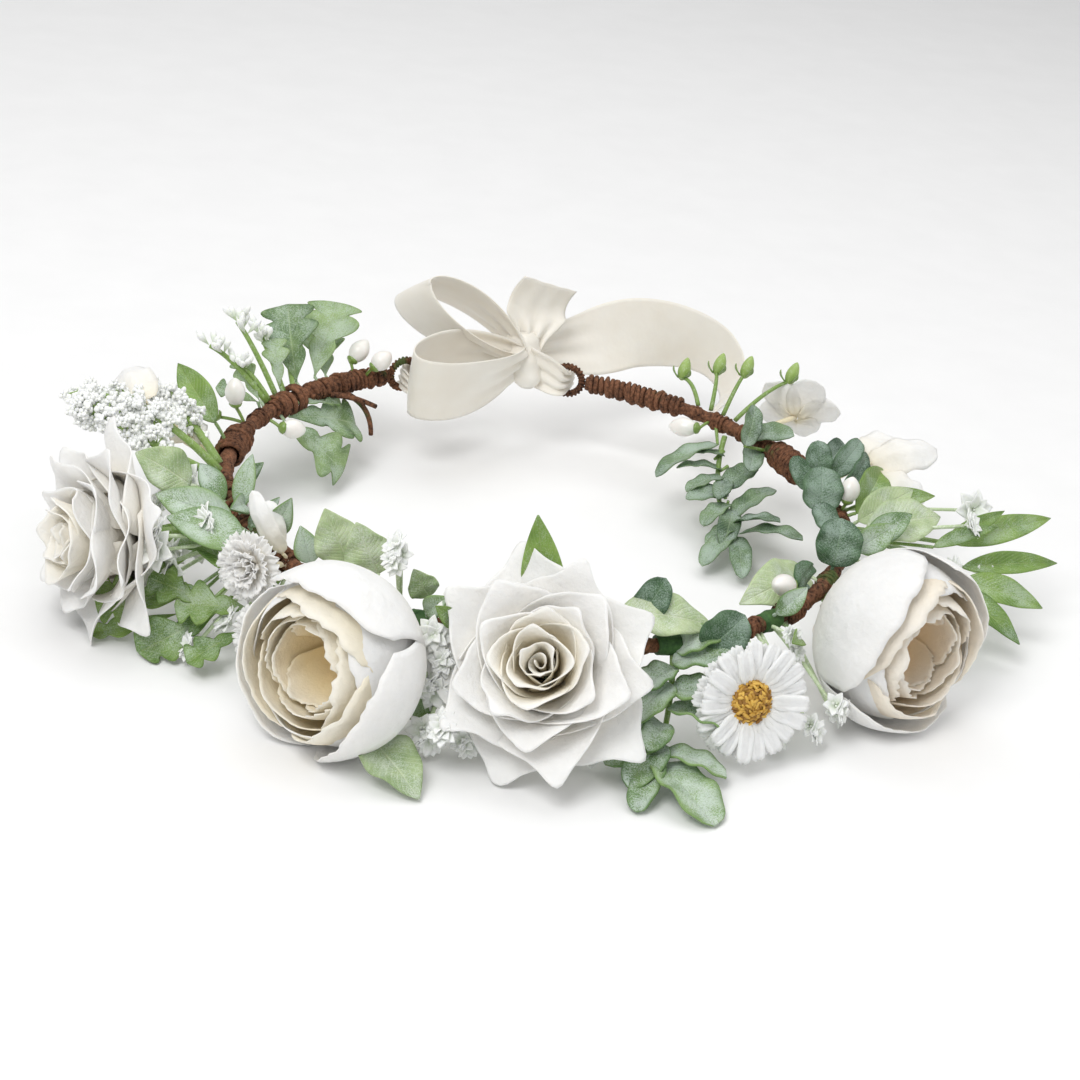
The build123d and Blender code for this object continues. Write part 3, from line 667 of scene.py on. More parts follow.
# ---- roses ----
def swirl(bag, head, foot, top, turns, radii, flare):
    """Adds one long petal rolled up round the axis, its lip waved and flared."""
    rows, cols = 12, int(turns * 30)
    v = np.linspace(0, 1, rows)[:, None]
    t = np.linspace(0, 1, cols)[None, :]
    angle = t * turns * 2 * np.pi
    lip = 1 + 0.10 * np.sin(angle * 1.7 + 1.0) - 0.22 * t ** 2
    rise = foot + (top - foot) * v * lip
    out = radii[0] + (radii[1] - radii[0]) * t + flare * v ** 5 * (0.4 + t) - 0.35 * radii[1] * (1 - v) * t
    local = np.stack((out * np.cos(angle), out * np.sin(angle), rise), -1)
    bag.sheet(head.place(local), 0.3, 0.1 + 0.8 * v + 0 * t, v + 0 * t)


def make_rose(name, head, radius):
    """Reflexed pointed petals round a swirl of upright ones."""
    depth = radius * 0.72
    outer = Bag()
    for layer, (foot_h, leans, length, count, roll) in enumerate(
            ((-0.5, (82, 68), 1.18, 5, 62), (-0.46, (68, 46), 1.14, 5, 60))):
        for k in range(count):
            petal(outer, head, k * 360 / count + layer * 37 + rng.random() * 8, (2.5, depth * foot_h),
                  radius * length * (0.93 + 0.12 * rng.random()), leans, radius * 1.42, 0.3, 0.62, 0.26,
                  0.5, 1.0,
                  2.8, 2.0, roll, -5.2, 0.006, tones=(0.25, 1.0), rows=28, cols=31)
    outer.build(f"{name}_skirt", PETAL, "crown_front", "white_petal", f"{name}_outer_petals")

    middle = Bag()
    for layer, (leans, length, width, count) in enumerate((((54, 30), 1.02, 1.25, 5),
                                                           ((44, 12), 0.92, 1.15, 4))):
        for k in range(count):
            petal(middle, head, k * 360 / count + layer * 41 + 20 + rng.random() * 8, (2.0, -depth * 0.42),
                  radius * length * (0.94 + 0.12 * rng.random()), leans, radius * width, 0.35, 0.48, 0.14,
                  0.8, 1.0,
                  2.2, 1.8, 64, -2.8, 0.006, tones=(0.12, 0.95), rows=26, cols=29)
    middle.build(f"{name}_middle", PETAL, "crown_front", "white_petal", f"{name}_middle_petals")

    heart = Bag()
    for layer, (foot_r, leans, length, width, count) in enumerate(
            ((1.8, (38, 2), 0.9, 1.0, 4), (1.4, (30, -6), 0.84, 0.8, 3), (1.0, (18, -10), 0.76, 0.56, 3))):
        for k in range(count):
            petal(heart, head, k * 360 / count + layer * 50 + rng.random() * 20, (foot_r, -depth * 0.34),
                  radius * length * (0.94 + 0.1 * rng.random()), leans, radius * width, 0.4, 0.36, 0.10,
                  1.0, 1.0,
                  1.5, 1.7, 50, -1.3, 0.012, tones=(0.0, 0.92), rows=22, cols=25)
    swirl(heart, head, -depth * 0.3, depth * 0.46, 1.6, (0.5, radius * 0.09), 0.9)
    heart.build(f"{name}_heart", HEART, "crown_front", "white_petal", f"{name}_inner_petals")

    cup = Bag()
    for k in range(5):
        petal(cup, head, k * 72, (0.5, -depth / 2 - 3.6), 9, (35, 100), 6, 0.5, 0.9, 0.2, 0.5,
              tones=(0.1, 0.6),
              rows=8, cols=7)
    stem_to_hoop(cup, head.o - head.z * (depth / 2 + 3), 1.5)
    cup.build(f"{name}_sepals", STEM, "crown_front", "green_stem", f"{name}_calyx")


# ---- daisy ----
def make_daisy():
    head = Head(middle("daisy_centre"), 170, 16)
    rays = Bag()
    for layer, (drop, count, length, cup) in enumerate(((0.0, 19, 15.2, 0.16), (1.3, 21, 15.0, 0.05))):
        for k in range(count):
            turn = (k + layer / 2) * 360 / count + rng.random() * 5
            out = head.outward(turn)
            base = head.at(turn, 3.6, -drop)
            tip = head.at(turn, length * (0.93 + 0.1 * rng.random()),
                          -drop + length * cup * (0.5 + rng.random()))
            leaf(rays, base, tip, 4.4, head.z - out * 0.2, "notched", 0.1, 0.05, 0.05, 0.0, 0.3, 11, 9, 0.35,
                 (0.2, 1.0))
    rays.build("daisy_rays", DAISY, "crown_front", "white_petal", "daisy_petals")

    eye = Bag()
    for k in range(150):
        share = (k + 0.5) / 150
        turn, out = k * 137.508, 5.6 * share ** 0.5
        way = unit(head.outward(turn) * out * 0.22 + head.z)
        spot = head.at(turn, out, 0.6 + 2.2 * (1 - share))
        side = unit(np.cross(way, rng.random(3) - 0.5))
        size = 0.75 + 0.5 * rng.random()
        eye.egg(spot - side * size, spot + side * size + way * size * (rng.random() - 0.2), size * 0.95, 6,
                6, 0.3)
    eye.egg(head.at(0, 0, -2), head.at(0, 0, 2.2), 9.6, 9, 16)
    eye.build("daisy_eye", POLLEN, "crown_front", "pollen", "daisy_centre")

    stem = Bag()
    stem_to_hoop(stem, head.at(0, 0, -2.4), 1.0)
    for k in range(10):
        petal(stem, head, k * 36, (0.6, -2.8), 6.4, (75, 88), 2.6, 0.5, 0.9, 0.2, 0.3, tones=(0.2, 0.7),
              rows=6, cols=5)
    stem.build("daisy_stalk", STEM, "crown_front", "green_stem", "daisy_stem")


# ---- leaves ----
def petiole(bag, base, radius=0.5):
    """Adds the short stalk that ties a leaf's base to the hoop."""
    centre = unit(base * vec(1, 1, 0)) * HOOP_R
    start = centre + unit(base - centre) * (TWINE_R - 0.3)
    bag.tube(curve(start, (start + base) / 2 + UP * 0.3, base, count=7), radius, 6, 0.1)


def leaf_group(name, rows, material, body, slot, nodes, shape="pointed", tied=True, **shaping):
    """Makes one piece of leaves: each row is base, tip, width and face."""
    bag = Bag()
    for base, tip, width, face in rows:
        detail = dict(rows=33, cols=15) if shape == "lobed" else dict(rows=21, cols=11)
        tilt = 0.5 * (rng.random(3) - 0.5)
        leaf(bag, rim(*base), rim(*tip), width, (heading(*face) if face else UP) + tilt, shape, **detail,
             **shaping)
        if tied:
            petiole(bag, rim(*base))
    return bag.build(name, material, body, slot, *nodes)


def make_leaves():
    low = FLOOR + 0.8
    leaf_group("frosted_sprig", (
        ((168, 4, -3), (160, 13, 2), 12, None), ((169, 9, -8), (163, 17, -8), 11, None),
        ((170, 12, -12), (163, 22, -14), 12, None), ((171, 15, -15), (180, 20, -22), 12, None),
        ((173, 22, -22), (170, 46, low), 15, None), ((172, 18, -18), (178, 30, -22.5), 10, None),
        ((169, 8, -7), (176, 15, -13), 10, None), ((168, 5, -4), (174, 10, -7), 9, None),
        ((172, 20, -20), (165, 30, -22), 10, None), ((173, 22, -21), (178, 38, low), 8, None),
        ((167, 3, -1), (160, 6, 5), 9, None), ((171, 14, -15), (175, 24, -16), 8, None)),
        FROSTED, "crown_front", "frosted_leaf", ["frosted_sprig_leaves"], "round", False, fold=0.3, arch=0.05,
        curl=0.04, wave=0.1, thick=0.6)
    stem = Bag()
    twig(stem, (rim(167, 1, -2), rim(169, 9, -12), rim(173, 22, -22.4)), 0.9)
    stem.build("frosted_sprig_stalk", STEM, "crown_front", "green_stem", "frosted_sprig_stem")

    leaf_group("smooth_leaf_group", (
        ((177, -3, 8), (160, 1, 4), 13, (165, 50)), ((126, -5, 1), (149, -7, 3), 14, (160, 60)),
        ((109, 6, 6), (101, 28, 7), 14, (170, 55)), ((-95, 11, 4), (-93, 26, 12), 13, (-150, 50)),
        ((-133, -5, 6), (-129, 0, 21), 13, (-160, 20)), ((-139, -6, 6), (-135, -2, 20), 13, (-165, 20)),
        ((-149, 28, -20), (-158, 42, low), 15, (-165, 60)),
        ((-150, -3, 6), (-148, 2, 15), 8, (-165, 30)), ((104, 4, 5), (98, 20, 12), 10, (170, 45))),
        PALE, "crown_front", "green_leaf", ["smooth_leaves"], arch=0.08, wave=0.12)
    leaf_group("lance_leaf_group", (
        ((-171, -5, 4), (-167, -10, 31), 11, (-170, 15)), ((-75, 5, 8), (-68, 20, 19), 9, (-150, 35)),
        ((-80, 8, 3), (-66, 22, 9), 9, (-150, 35)),
        ((98, 5, 3), (86, 18, 8), 12, (170, 40)), ((96, 6, 4), (92, 31, 5), 7, (170, 50)),
        ((100, 34, -2), (94, 66, 2), 8, (170, 50)), ((104, 36, -5), (99, 66, -6), 7, (170, 50)),
        ((106, 36, -7), (106, 60, -12), 9, (170, 50)), ((108, 34, -8), (112, 54, -17), 8, (170, 50)),
        ((102, 30, 0), (98, 48, 8), 5, (170, 50)), ((106, 26, 2), (103, 44, 8), 5, (170, 50)),
        ((-157, 8, 6), (-154, 12, 12), 5, (-160, 40)), ((-156, 10, -14), (-153, 18, -18), 5, (-160, 40)),
        ((144, 8, -2), (150, 14, 2), 5, (160, 40)), ((-119, 8, -2), (-113, 20, 2), 7, (-150, 50)),
        ((-116, 8, 0), (-107, 20, 4), 7, (-150, 50)), ((-106, 10, -6), (-100, 22, -4), 7, (-150, 50))),
        BLADE, "crown_front", "green_leaf", ["green_blades"], fold=0.4, arch=0.05, wave=0.06)
    leaf_group("round_leaf_group", (
        ((163, 6, 1), (158, 9, 11), 12, (170, 30)), ((122, 0, 3), (118, -1, 15), 13, (170, 30)),
        ((99, -6, 3), (94, -6, 14), 12, (175, 25)), ((90, -6, 4), (86, -11, 12), 6, (-160, 30)),
        ((86, -2, 5), (83, -2, 15), 8, (175, 30)), ((85, 3, 5), (80, 15, 12), 7, (150, 50)),
        ((92, 3, 6), (86, 12, 13), 6, (120, 40)), ((173, -5, 4), (168, -6, 16), 9, (-178, 25)),
        ((131, -3, 2), (134, -5, 9), 8, (165, 30)), ((-154, 4, -4), (-150, 9, -12), 7, (-160, 30)),
        ((80, 4, 4), (76, 14, 8), 8, (170, 50)), ((108, -3, 3), (103, -8, 8), 7, (175, 40))),
        DUSKY, "crown_front", "frosted_leaf", ["round_leaves"], "round", fold=0.25, arch=0.1, wave=0.12,
        thick=0.5)
    leaf_group("magnolia_group", (
        ((84, 16, 8), (83, 38, 13), 13, (150, 70)), ((87, 17, 8), (91, 30, 4), 12, (150, 60)),
        ((82, 14, 8), (77, 34, 10), 12, (150, 60)), ((-82, 24, 18), (-73, 34, 20), 13, (-150, 60)),
        ((-84, 12, 8), (-70, 14, 6), 11, (-150, 60)), ((-122, 3, 4), (-118, 10, 20), 6, (-150, 20)),
        ((-120, 2, 4), (-116, 2, 15), 6, (-170, 20))),
        PETAL, "crown_front", "white_petal", ["magnolia_petals"], "round", fold=-0.5, arch=0.12, curl=0.1,
        wave=0.12,
        tones=(0.2, 1.0))
    leaf_group("ivy_group", (
        ((-113, 22, -12), (-107, 42, -16), 15, (-150, 40)),
        ((-117, 16, -14), (-114, 36, low), 14, (-150, 40)),
        ((-120, 10, -12), (-114, 26, -13), 14, (-150, 50)), ((-112, 22, -18), (-108, 44, low), 6, (-150, 40)),
        ((-116, 18, -12), (-110, 30, -8), 12, (-150, 60)), ((-122, 14, -16), (-121, 30, -22), 10, (-150, 40)),
        ((-104, 24, -16), (-102, 40, -22), 9, (-150, 40))),
        BLADE, "crown_front", "green_leaf", ["ivy_leaves"], "lobed", fold=0.3, arch=0.04, wave=0.08)
    leaf_group("frosted_leaf_group", (
        ((-118, 10, 4), (-108, 24, 7), 13, (-160, 50)), ((-112, 8, 6), (-103, 24, 9), 11, (-160, 50)),
        ((-103, -1, 4), (-109, 7, 8), 6, (-170, 30)), ((-95, -2, 4), (-97, -8, 12), 5, (-170, 30)),
        ((-115, -1, 4), (-119, -2, 17), 7, (-170, 20)), ((-104, 1, 3), (-99, -4, 16), 6, (-170, 20)),
        ((-110, 2, 3), (-112, -5, 12), 5, (-170, 20)), ((-99, 3, 2), (-92, 8, 8), 7, (-160, 40)),
        ((-127, 0, 4), (-125, 2, 14), 7, (-165, 20)), ((-151, 2, 4), (-155, 6, 12), 6, (-165, 30)),
        ((146, 2, 3), (141, 5, 10), 6, (170, 30)), ((112, 6, 5), (107, 18, 12), 8, (170, 40)),
        ((116, 4, 5), (113, 14, 13), 8, (170, 40))),
        FROSTED, "crown_front", "frosted_leaf", ["frosted_leaves"], fold=0.3, arch=0.08, thick=0.5)
    leaf_group("lobed_leaf_group", (
        ((-43, 3, 3), (-38, 17, 22), 19, (-160, 20)), ((-38, 3, 3), (-27, 17, 19), 20, (-160, 20)),
        ((-35, 3, 2), (-29, 20, 8), 15, (-160, 50)), ((-50, -3, -3), (-31, -6, -12), 18, (-170, 50)),
        ((-52, -4, -4), (-42, -17, -20), 18, (-170, 50)), ((-48, 3, 4), (-44, 12, 15), 9, (-160, 40)),
        ((-55, 3, 3), (-52, 14, 12), 8, (-160, 40)), ((-47, -3, 0), (-36, -3, -5), 9, (-170, 60)),
        ((-57, 2, 4), (-62, 12, 9), 7, (-150, 40))),
        LOBED, "left_arm", "green_leaf", ["lobed_leaves"], "lobed", fold=0.22, arch=0.06, wave=0.1)
    leaf_group("hanging_leaf_group", (
        ((62, -12, -10), (60, -25, -13), 7, None), ((67, -15, -12), (62, -27, -14), 7, None),
        ((70, -18, -13), (74, -29, -17), 7, None), ((79, -22, -18), (90, -35, -22), 7, None),
        ((80, -21, -18), (95, -24, -23), 7, None), ((80, -20, -17), (91, -6, -12), 9, None),
        ((66, -16, -11), (64, -2, -7), 8, None), ((74, -19, -15), (72, -3, -9), 8, None),
        ((76, -20, -16), (84, -10, -11), 8, None), ((60, -10, -9), (52, -20, -10), 7, None),
        ((72, -18, -14), (84, -27, -19), 7, None), ((77, -20, -16), (80, -30, -21), 7, None),
        ((64, -13, -10), (70, -22, -11), 6, None), ((58, -7, -6), (53, -15, -6), 6, None),
        ((55, -6, -4), (50, -27, -12), 9, None), ((66, -11, 3), (62, -4, 13), 7, (170, 20)),
        ((61, -2, 2), (70, 3, 7), 7, (170, 50)), ((63, -3, -1), (70, -12, -3), 7, None)),
        SAGE, "right_arm", "frosted_leaf", ["hanging_sprig_leaves"], "round", False, fold=0.25, arch=0.08,
        wave=0.1)
    stem = Bag()
    twig(stem, (rim(55, -3, -2), rim(62, -14, -12), rim(78, -22, -20)), 0.9)
    for start, end in (((57, -6, -5), (57, -10, -7)), ((52, -2, -1), (55, -6, -4)),
                       ((66, -2, 0), (66, -11, 3)),
                       ((61, -1, 1), (61, -2, 2)), ((66, -15, -14), (66, -16, -11)),
                       ((60, -8, -8), (60, -11, -9)),
                       ((72, -20, -18), (74, -19, -14)), ((70, -18, -16), (70, -18, -12))):
        twig(stem, (rim(*start), rim(*end)), 0.6)
    stem.build("hanging_sprig_stalk", STEM, "right_arm", "green_stem", "hanging_sprig_stem")


# ---- small flowers ----
def make_small_flowers():
    fillers = Bag()
    for phi, reach, height, size in (
            (-156, 4, 9, 6), (-155, 12, -10, 8), (-159, 25, -14, 7), (-164, 13, -22, 6), (-169, 12, -22, 6),
            (-178, 14, -22, 6), (153, 19, -22, 5), (149, 23, -19, 6), (145, 24, -15, 6), (-146, 6, 18, 5),
            (-122, 6, -14, 6), (-126, 12, -19, 6), (146, 10, -5, 4), (150, 13, -9, 4), (-154, 8, 3, 7),
            (-156, 10, -3, 6), (-156, 20, -19, 7), (-154, 16, -8, 5), (-172, 10, -20, 5), (-161, 18, -20, 6),
            (147, 8, 0, 5), (152, 12, -14, 5), (142, 20, -20, 6), (-112, 14, 8, 7), (-110, 22, -4, 8),
            (-108, 24, -12, 8), (-112, 28, 6, 7), (-120, 14, -16, 7), (-114, 20, -21, 6), (-118, 24, -22, 6),
            (104, 34, 8, 6), (108, 30, -2, 7), (102, 42, -8, 7), (-92, 16, -4, 7), (-98, 14, -12, 7),
            (-146, 4, 21, 6)):
        centre = rim(phi, reach, height)
        petiole(fillers, centre, 0.55)
        for k in range(4):
            spin = rng.random() * 100 - 50
            turn = phi + spin
            head = Head(centre + heading(turn, spin) * size * 0.25, turn, 20 + spin * 0.6, k * 31)
            floret(fillers, head, size * 0.6, 6, 0.6, 0.5, 0.3, (0.25, 1.0))
            crumb_cluster(fillers, head.o + head.z * 0.5, size * 0.12, 6, size * 0.13)
    fillers.build("babys_breath", FLORET, "crown_front", "white_foam", "front_fillers")

    spikes = (((-88, 2, 3), (-84, 22, 16), (-76, 44, 13)), ((-85, 2, 3), (-79, 14, 13), (-73, 26, 11)),
              ((-91, 2, 3), (-89, 26, 14), (-83, 42, 17)))
    stems, foam = Bag(), Bag()
    for start, bend, end in spikes:
        path = curve(rim(*start), rim(*bend), rim(*end), count=18)
        stems.tube(path, np.linspace(1.3, 0.5, 18), 8, 0.4)
        for step in np.linspace(0.4, 1.0, 18):
            spot = path[int(step * 17)]
            for k in range(6):
                way = unit(rng.random(3) - vec(0.5, 0.5, 0.4))
                reach = 1.6 + 3.6 * rng.random()
                stems.tube(curve(spot, spot + way * reach, count=4), 0.25, 5, 0.5)
                crumb_cluster(foam, spot + way * reach, 1.0, 7, 1.4, 0.6, (0.6, 1.0))
    stems.build("foam_spray_stalks", STEM, "crown_front", "green_stem", "foam_stems")
    foam.build("foam_spray_grains", FOAM, "crown_front", "white_foam", "foam_beads")

    fringed = Bag()
    for phi, reach, height, turn in ((-122, 13, 3, -140), (-128, 16, -12, -130)):
        head = Head(rim(phi, reach, height), turn, 10)
        petiole(fringed, head.o, 0.8)
        for layer, (count, lean, length) in enumerate(((9, 70, 9.5), (8, 50, 9.0), (6, 28, 8.0),
                                                       (4, 8, 7.0))):
            for k in range(count):
                petal(fringed, head, k * 360 / count + layer * 19, (0.4, -1.0), length, (lean, lean + 8),
                      6.0, 0.25,
                      0.15, 0.0, 0.3, 1.0, 0.9, 3.5, fray=0.3, thick=0.22, rows=9, cols=17)
    fringed.build("fringed_flowers", PETAL, "crown_front", "white_petal", "fringed_petals")

    stars = Bag()
    for phi, reach, height, turn in (
            (-92, 12, 2, -150), (-99, 9, -10, -150), (-112, 30, 2, -140), (93, 42, 2, 170),
            (112, 34, -8, 170)):
        head = Head(rim(phi, reach, height), turn, 30)
        petiole(stars, head.o, 0.5)
        floret(stars, head, 6.5, 6, 0.6, 0.3)
        floret(stars, Head(head.o + head.z * 0.8, turn, 30, 28), 4.6, 6, 0.6, 0.7)
        crumb_cluster(stars, head.o + head.z * 1.2, 0.8, 9, 0.8)
    stars.build("star_blossoms", FLORET, "crown_front", "white_foam", "star_flowers")

    stems, heads = Bag(), Bag()
    for phi, reach, height in ((-57, 19, 20), (-55, 11, 14), (-45, 16, 18), (-39, 12, 6), (-50, 18, 24)):
        top = rim(phi, reach, height - 2.5)
        path = curve(rim((phi - 50) / 2, 2, 2), (rim((phi - 50) / 2, 4, 4) + top) / 2 + UP * 1.5, top,
                     count=12)
        stems.tube(path, np.linspace(0.9, 0.7, 12), 7, 0.35)
        for k in range(9):
            way = unit(heading(phi + k * 40 + 20 * rng.random(), 20 + 50 * rng.random()) + UP * 0.35)
            root = path[-1 - k % 4]
            heads.egg(root, root + way * (4.5 + 2.5 * rng.random()), 2.0, 8, 8, 0.15, 0.72)
    stems.build("filler_stalks", STEM, "left_arm", "green_stem", "filler_stems")
    heads.build("filler_buds", FLORET, "left_arm", "white_foam", "filler_florets")

    blossom = Bag()
    head = Head(rim(59, 22, 2), 20, 25)
    petiole(blossom, head.o, 0.8)
    for k in range(5):
        petal(blossom, head, k * 72, (0.8, -0.5), 14, (58, 76), 12.5, 0.3, 0.3, 0.05, 0.6, 1.0, 0.6, 2.0,
              14, -1.0,
              rows=14, cols=13, tones=(0.1, 1.0))
    crumb_cluster(blossom, head.o + head.z * 2.2, 1.2, 16, 0.9, tone=(0.0, 0.2))
    blossom.build("blossom", PETAL, "right_arm", "white_petal", "blossom_petals")

    buds = Bag()
    for phi, reach, height in ((45, 13, 12), (51, 12, 15), (57, 21, 15), (39, 10, 8)):
        foot = rim(phi, reach - 1, height - 2)
        twig(buds, (rim((phi + 52) / 2, 1.8, 2), (rim((phi + 52) / 2, 3, 6) + foot) / 2, foot), 0.75)
        buds.egg(foot - UP, rim(phi, reach + 2, height + 4), 4.0, 12, 12, 0.05, 0.42, 0.95)
        for k in range(3):
            base = foot + heading(k * 120 + 30) * 0.8
            leaf(buds, base, base + heading(k * 120 + 30) * 2.3 + UP * 4, 2.6, heading(k * 120 + 30),
                 tones=(0.1, 0.4))
    buds.build("green_buds", STEM, "right_arm", "green_stem", "right_arm_buds")


# ---- berries and twigs ----
def berry(bag, base, tip, width):
    """Adds a rice-shaped berry with a ribbed green cap; its tone is 0 on the cap and 1 on the berry."""
    petiole(bag, base, 0.5)
    along = unit(tip - base)
    bag.egg(base, tip, width, 14, 16, 0.02, 0.5, 1.0)
    bag.egg(base - along * 0.6, base + along * 2.0, width * 0.66, 8, 12, 0.1, 0.6, 0.0)


def make_berries():
    for name, body, node, rows in (
            ("left_berries", "left_arm", "left_arm_berries",
             (((-29, 3, 5), (-25, 4, 11)), ((-27, -4, 5), (-23, -5, 10)), ((-64, 4, 6), (-64, 5, 15)),
              ((-62, 10, 0), (-64, 17, 4)), ((-57, -6, -2), (-52, -11, -4)))),
            ("right_berry", "right_arm", "right_arm_berry", (((50, -7, -1), (43, -9, -3)),)),
            ("front_berry_pair", "crown_front", "front_berries",
             (((97, 2, 5), (96, 3, 13)), ((138, -2, 6), (145, -1, 10))))):
        bag = Bag()
        for base, tip in rows:
            berry(bag, rim(*base), rim(*tip), 6.0)
        bag.build(name, PEARL, body, "berry", node)
    twigs = Bag()
    twig(twigs, (rim(-33, -2, -2), rim(-29, -6, -7), rim(-27, -7, -16)), 1.0)
    twig(twigs, (rim(-37, -3, -1), rim(-33, -7, -2), rim(-28, -10, -5)), 1.0)
    twigs.build("bark_twigs", TWINE, "left_arm", "brown_twine", "arm_twigs")


def make_wires():
    for name, start, stop, body in (("front_wire", 72.3, 287.7, "crown_front"),
                                    ("left_arm_wire", -71.7, -21, "left_arm"),
                                    ("right_arm_wire", 21, 71.7, "right_arm")):
        bag = Bag()
        bag.tube(hoop_line(start, stop, 60), WIRE_R, 8)
        bag.build(f"{name}_core", WIRE, body, "wire", name)


# ---- ribbon ----
KNOT = middle("bow_knot")
RIBBON_W = 23.0


def smooth(t):
    t = np.clip(t, 0, 1)
    return t * t * (3 - 2 * t)


def ribbon(name, path, across, widths, body, node, pleats=0.0, cols=21, wander=0.0,
           blend=None):
    """Makes a length of ribbon along path; across is its width's direction at each row, widths its width there."""
    rows = len(path)
    along = np.gradient(path, axis=0)
    along /= np.linalg.norm(along, axis=1, keepdims=True)
    side = across - along * np.sum(across * along, axis=1, keepdims=True)
    side /= np.linalg.norm(side, axis=1, keepdims=True)
    normal = np.cross(along, side)
    widths = np.broadcast_to(widths, rows)
    u = np.linspace(-1, 1, cols)
    pinch = np.clip(1 - widths / RIBBON_W, 0, 1)
    fold = np.cos(3.2 * np.pi * u)[None, :] * (pleats * pinch)[:, None]
    ripple = wander * np.sin(np.linspace(0, 9, rows))[:, None] * (u ** 2)[None, :]
    grid = (path[:, None, :] + side[:, None, :] * (u[None, :] * widths[:, None] / 2)[..., None]
            + normal[:, None, :] * (fold + ripple)[..., None])
    bag = Bag()
    bag.sheet(grid, 0.32, 0.5, np.abs(u)[None, :] + 0 * path[:, :1])
    piece = bag.build(name, RIBBON, None if blend else body, "ivory_ribbon", node)
    if blend:
        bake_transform(piece)
    return piece


def loop_path(end, fullness, across, rows=64):
    """Teardrop path from the knot round the loop's end and back."""
    run = end - KNOT
    length = np.linalg.norm(run)
    e = run / length
    n = unit(np.cross(across, e))
    t = np.linspace(0.03, 0.97, rows)
    out = length * (1 - np.cos(2 * np.pi * t)) / 2
    apart = -fullness / 2 * np.sin(2 * np.pi * t) * (out / length) ** 0.25 * 1.25
    return KNOT + np.outer(out, e) + np.outer(apart, n), t


def make_ribbon():
    knot_up = unit(vec(-0.1, 0.42, 0.9))
    turns = np.linspace(0, 2 * np.pi * 1.35, 60)
    x, y = vec(1, 0, 0), np.cross(knot_up, vec(1, 0, 0))
    radius = 5.0 + turns * 0.09
    ring = KNOT + (np.outer(np.cos(turns) * radius, x) + np.outer(np.sin(turns) * radius * 0.85, y))
    bag = Bag()
    u = np.linspace(-1, 1, 17)
    hug = 1 - 0.5 * np.abs(u) ** 3 + 0.06 * np.cos(9 * u)
    grid = (KNOT + (ring - KNOT)[:, None, :] * hug[None, :, None]
            + knot_up * (u * 8.8 + 0.5 * np.sin(3 * u))[None, :, None]
            + knot_up * (1.2 * np.sin(turns))[:, None, None])
    bag.sheet(grid, 0.35, 0.5, np.abs(u)[None, :] + 0 * turns[:, None])
    knot = bag.build("ribbon_knot", RIBBON, "bow", "ivory_ribbon", "bow_knot")

    for name, node, end, fullness, across in (
            ("ribbon_loop_low", "bow_loop_low", vec(-27, 66, 4), 14, vec(0, -0.35, 0.94)),
            ("ribbon_loop_high", "bow_loop_high", vec(-25, 93, 25), 12, vec(0.3, -0.8, 0.5))):
        path, t = loop_path(end, fullness, across)
        open_up = smooth(np.minimum(t, 1 - t) * 3.2)
        tilt = np.outer(np.sin(2 * np.pi * t), unit(end - KNOT)) * 0.25
        ribbon(name, path, across + tilt, RIBBON_W * (0.42 + 0.58 * open_up), "bow", node, 2.4, wander=0.7)

    path = curve(KNOT + vec(1, 1, 3), KNOT + vec(3, 3.5, 10), vec(15.5, 93, 20), vec(19, 92, 29), count=40)
    t = np.linspace(0, 1, 40)
    ribbon("ribbon_tail_short", path, np.outer(1 - t * 0.2, vec(1, 0.1, 0)) + np.outer(t,
                                                                                       vec(0.2, 0.2, -0.2)),
           9 + 12 * smooth(t * 1.8), "bow", "bow_tail_short", 2.0, wander=1.0)

    way = np.array([KNOT + vec(3, 3, 0), KNOT + vec(12, 10, 0), vec(36, 101, 6), vec(52, 104, 9),
                    vec(68, 105, 7),
                    vec(80, 102, 3), vec(85, 95, -3), vec(80, 88, -9), vec(72, 84, -14)])
    t = np.linspace(0, 1, 90)
    path = np.stack([smooth_line(way[:, axis], t) for axis in range(3)], -1)
    lean = np.outer(0.45 * np.sin(t * 7), vec(0, 1, 0)) + np.outer(smooth(t * 3 - 2), vec(0.5, -0.7, -0.3))
    ribbon("ribbon_tail_long", path, UP + lean, 10 + 13 * smooth(t * 3), "bow", "bow_tail_long", 1.6,
           wander=1.2)

    for side, way, body in (
            ("left", [vec(-24.5, 79.5, -2), vec(-26.5, 83.9, -1), vec(-24, 88.5, -1), vec(-8, 89, -1),
                      vec(8, 88, 3)],
             "left_arm"),
            ("right", [vec(29.5, 91, -1), vec(26.8, 84.5, -0.5), vec(23.5, 80.5, 0.5), vec(18, 82.5, 3),
                       vec(12.5, 85.5, 5)], "right_arm")):
        way = np.array(way)
        t = np.linspace(0, 1, 50)
        path = np.stack([smooth_line(way[:, axis], t) for axis in range(3)], -1)
        ribbon(f"{side}_tie", path, UP + np.outer(np.sin(t * 5), vec(0.2, 0.2, 0)),
               6 + 8 * smooth(t * 1.6 - 0.4), body,
               f"{side}_strand", 1.3,
               blend=("crown_front", body, way[-1], way[1]))


def smooth_line(values, t):
    """Catmull-Rom curve through values at evenly spread shares."""
    count = len(values) - 1
    place = np.clip(t * count, 0, count - 1e-9)
    i = place.astype(int)
    f = place - i
    v = np.concatenate(([2 * values[0] - values[1]], values, [2 * values[-1] - values[-2]]))
    a, b, c, d = v[i], v[i + 1], v[i + 2], v[i + 3]
    return 0.5 * (2 * b + (c - a) * f + (2 * a - 5 * b + 4 * c - d) * f ** 2 + (3 * b - a - 3 * c + d) * f ** 3)


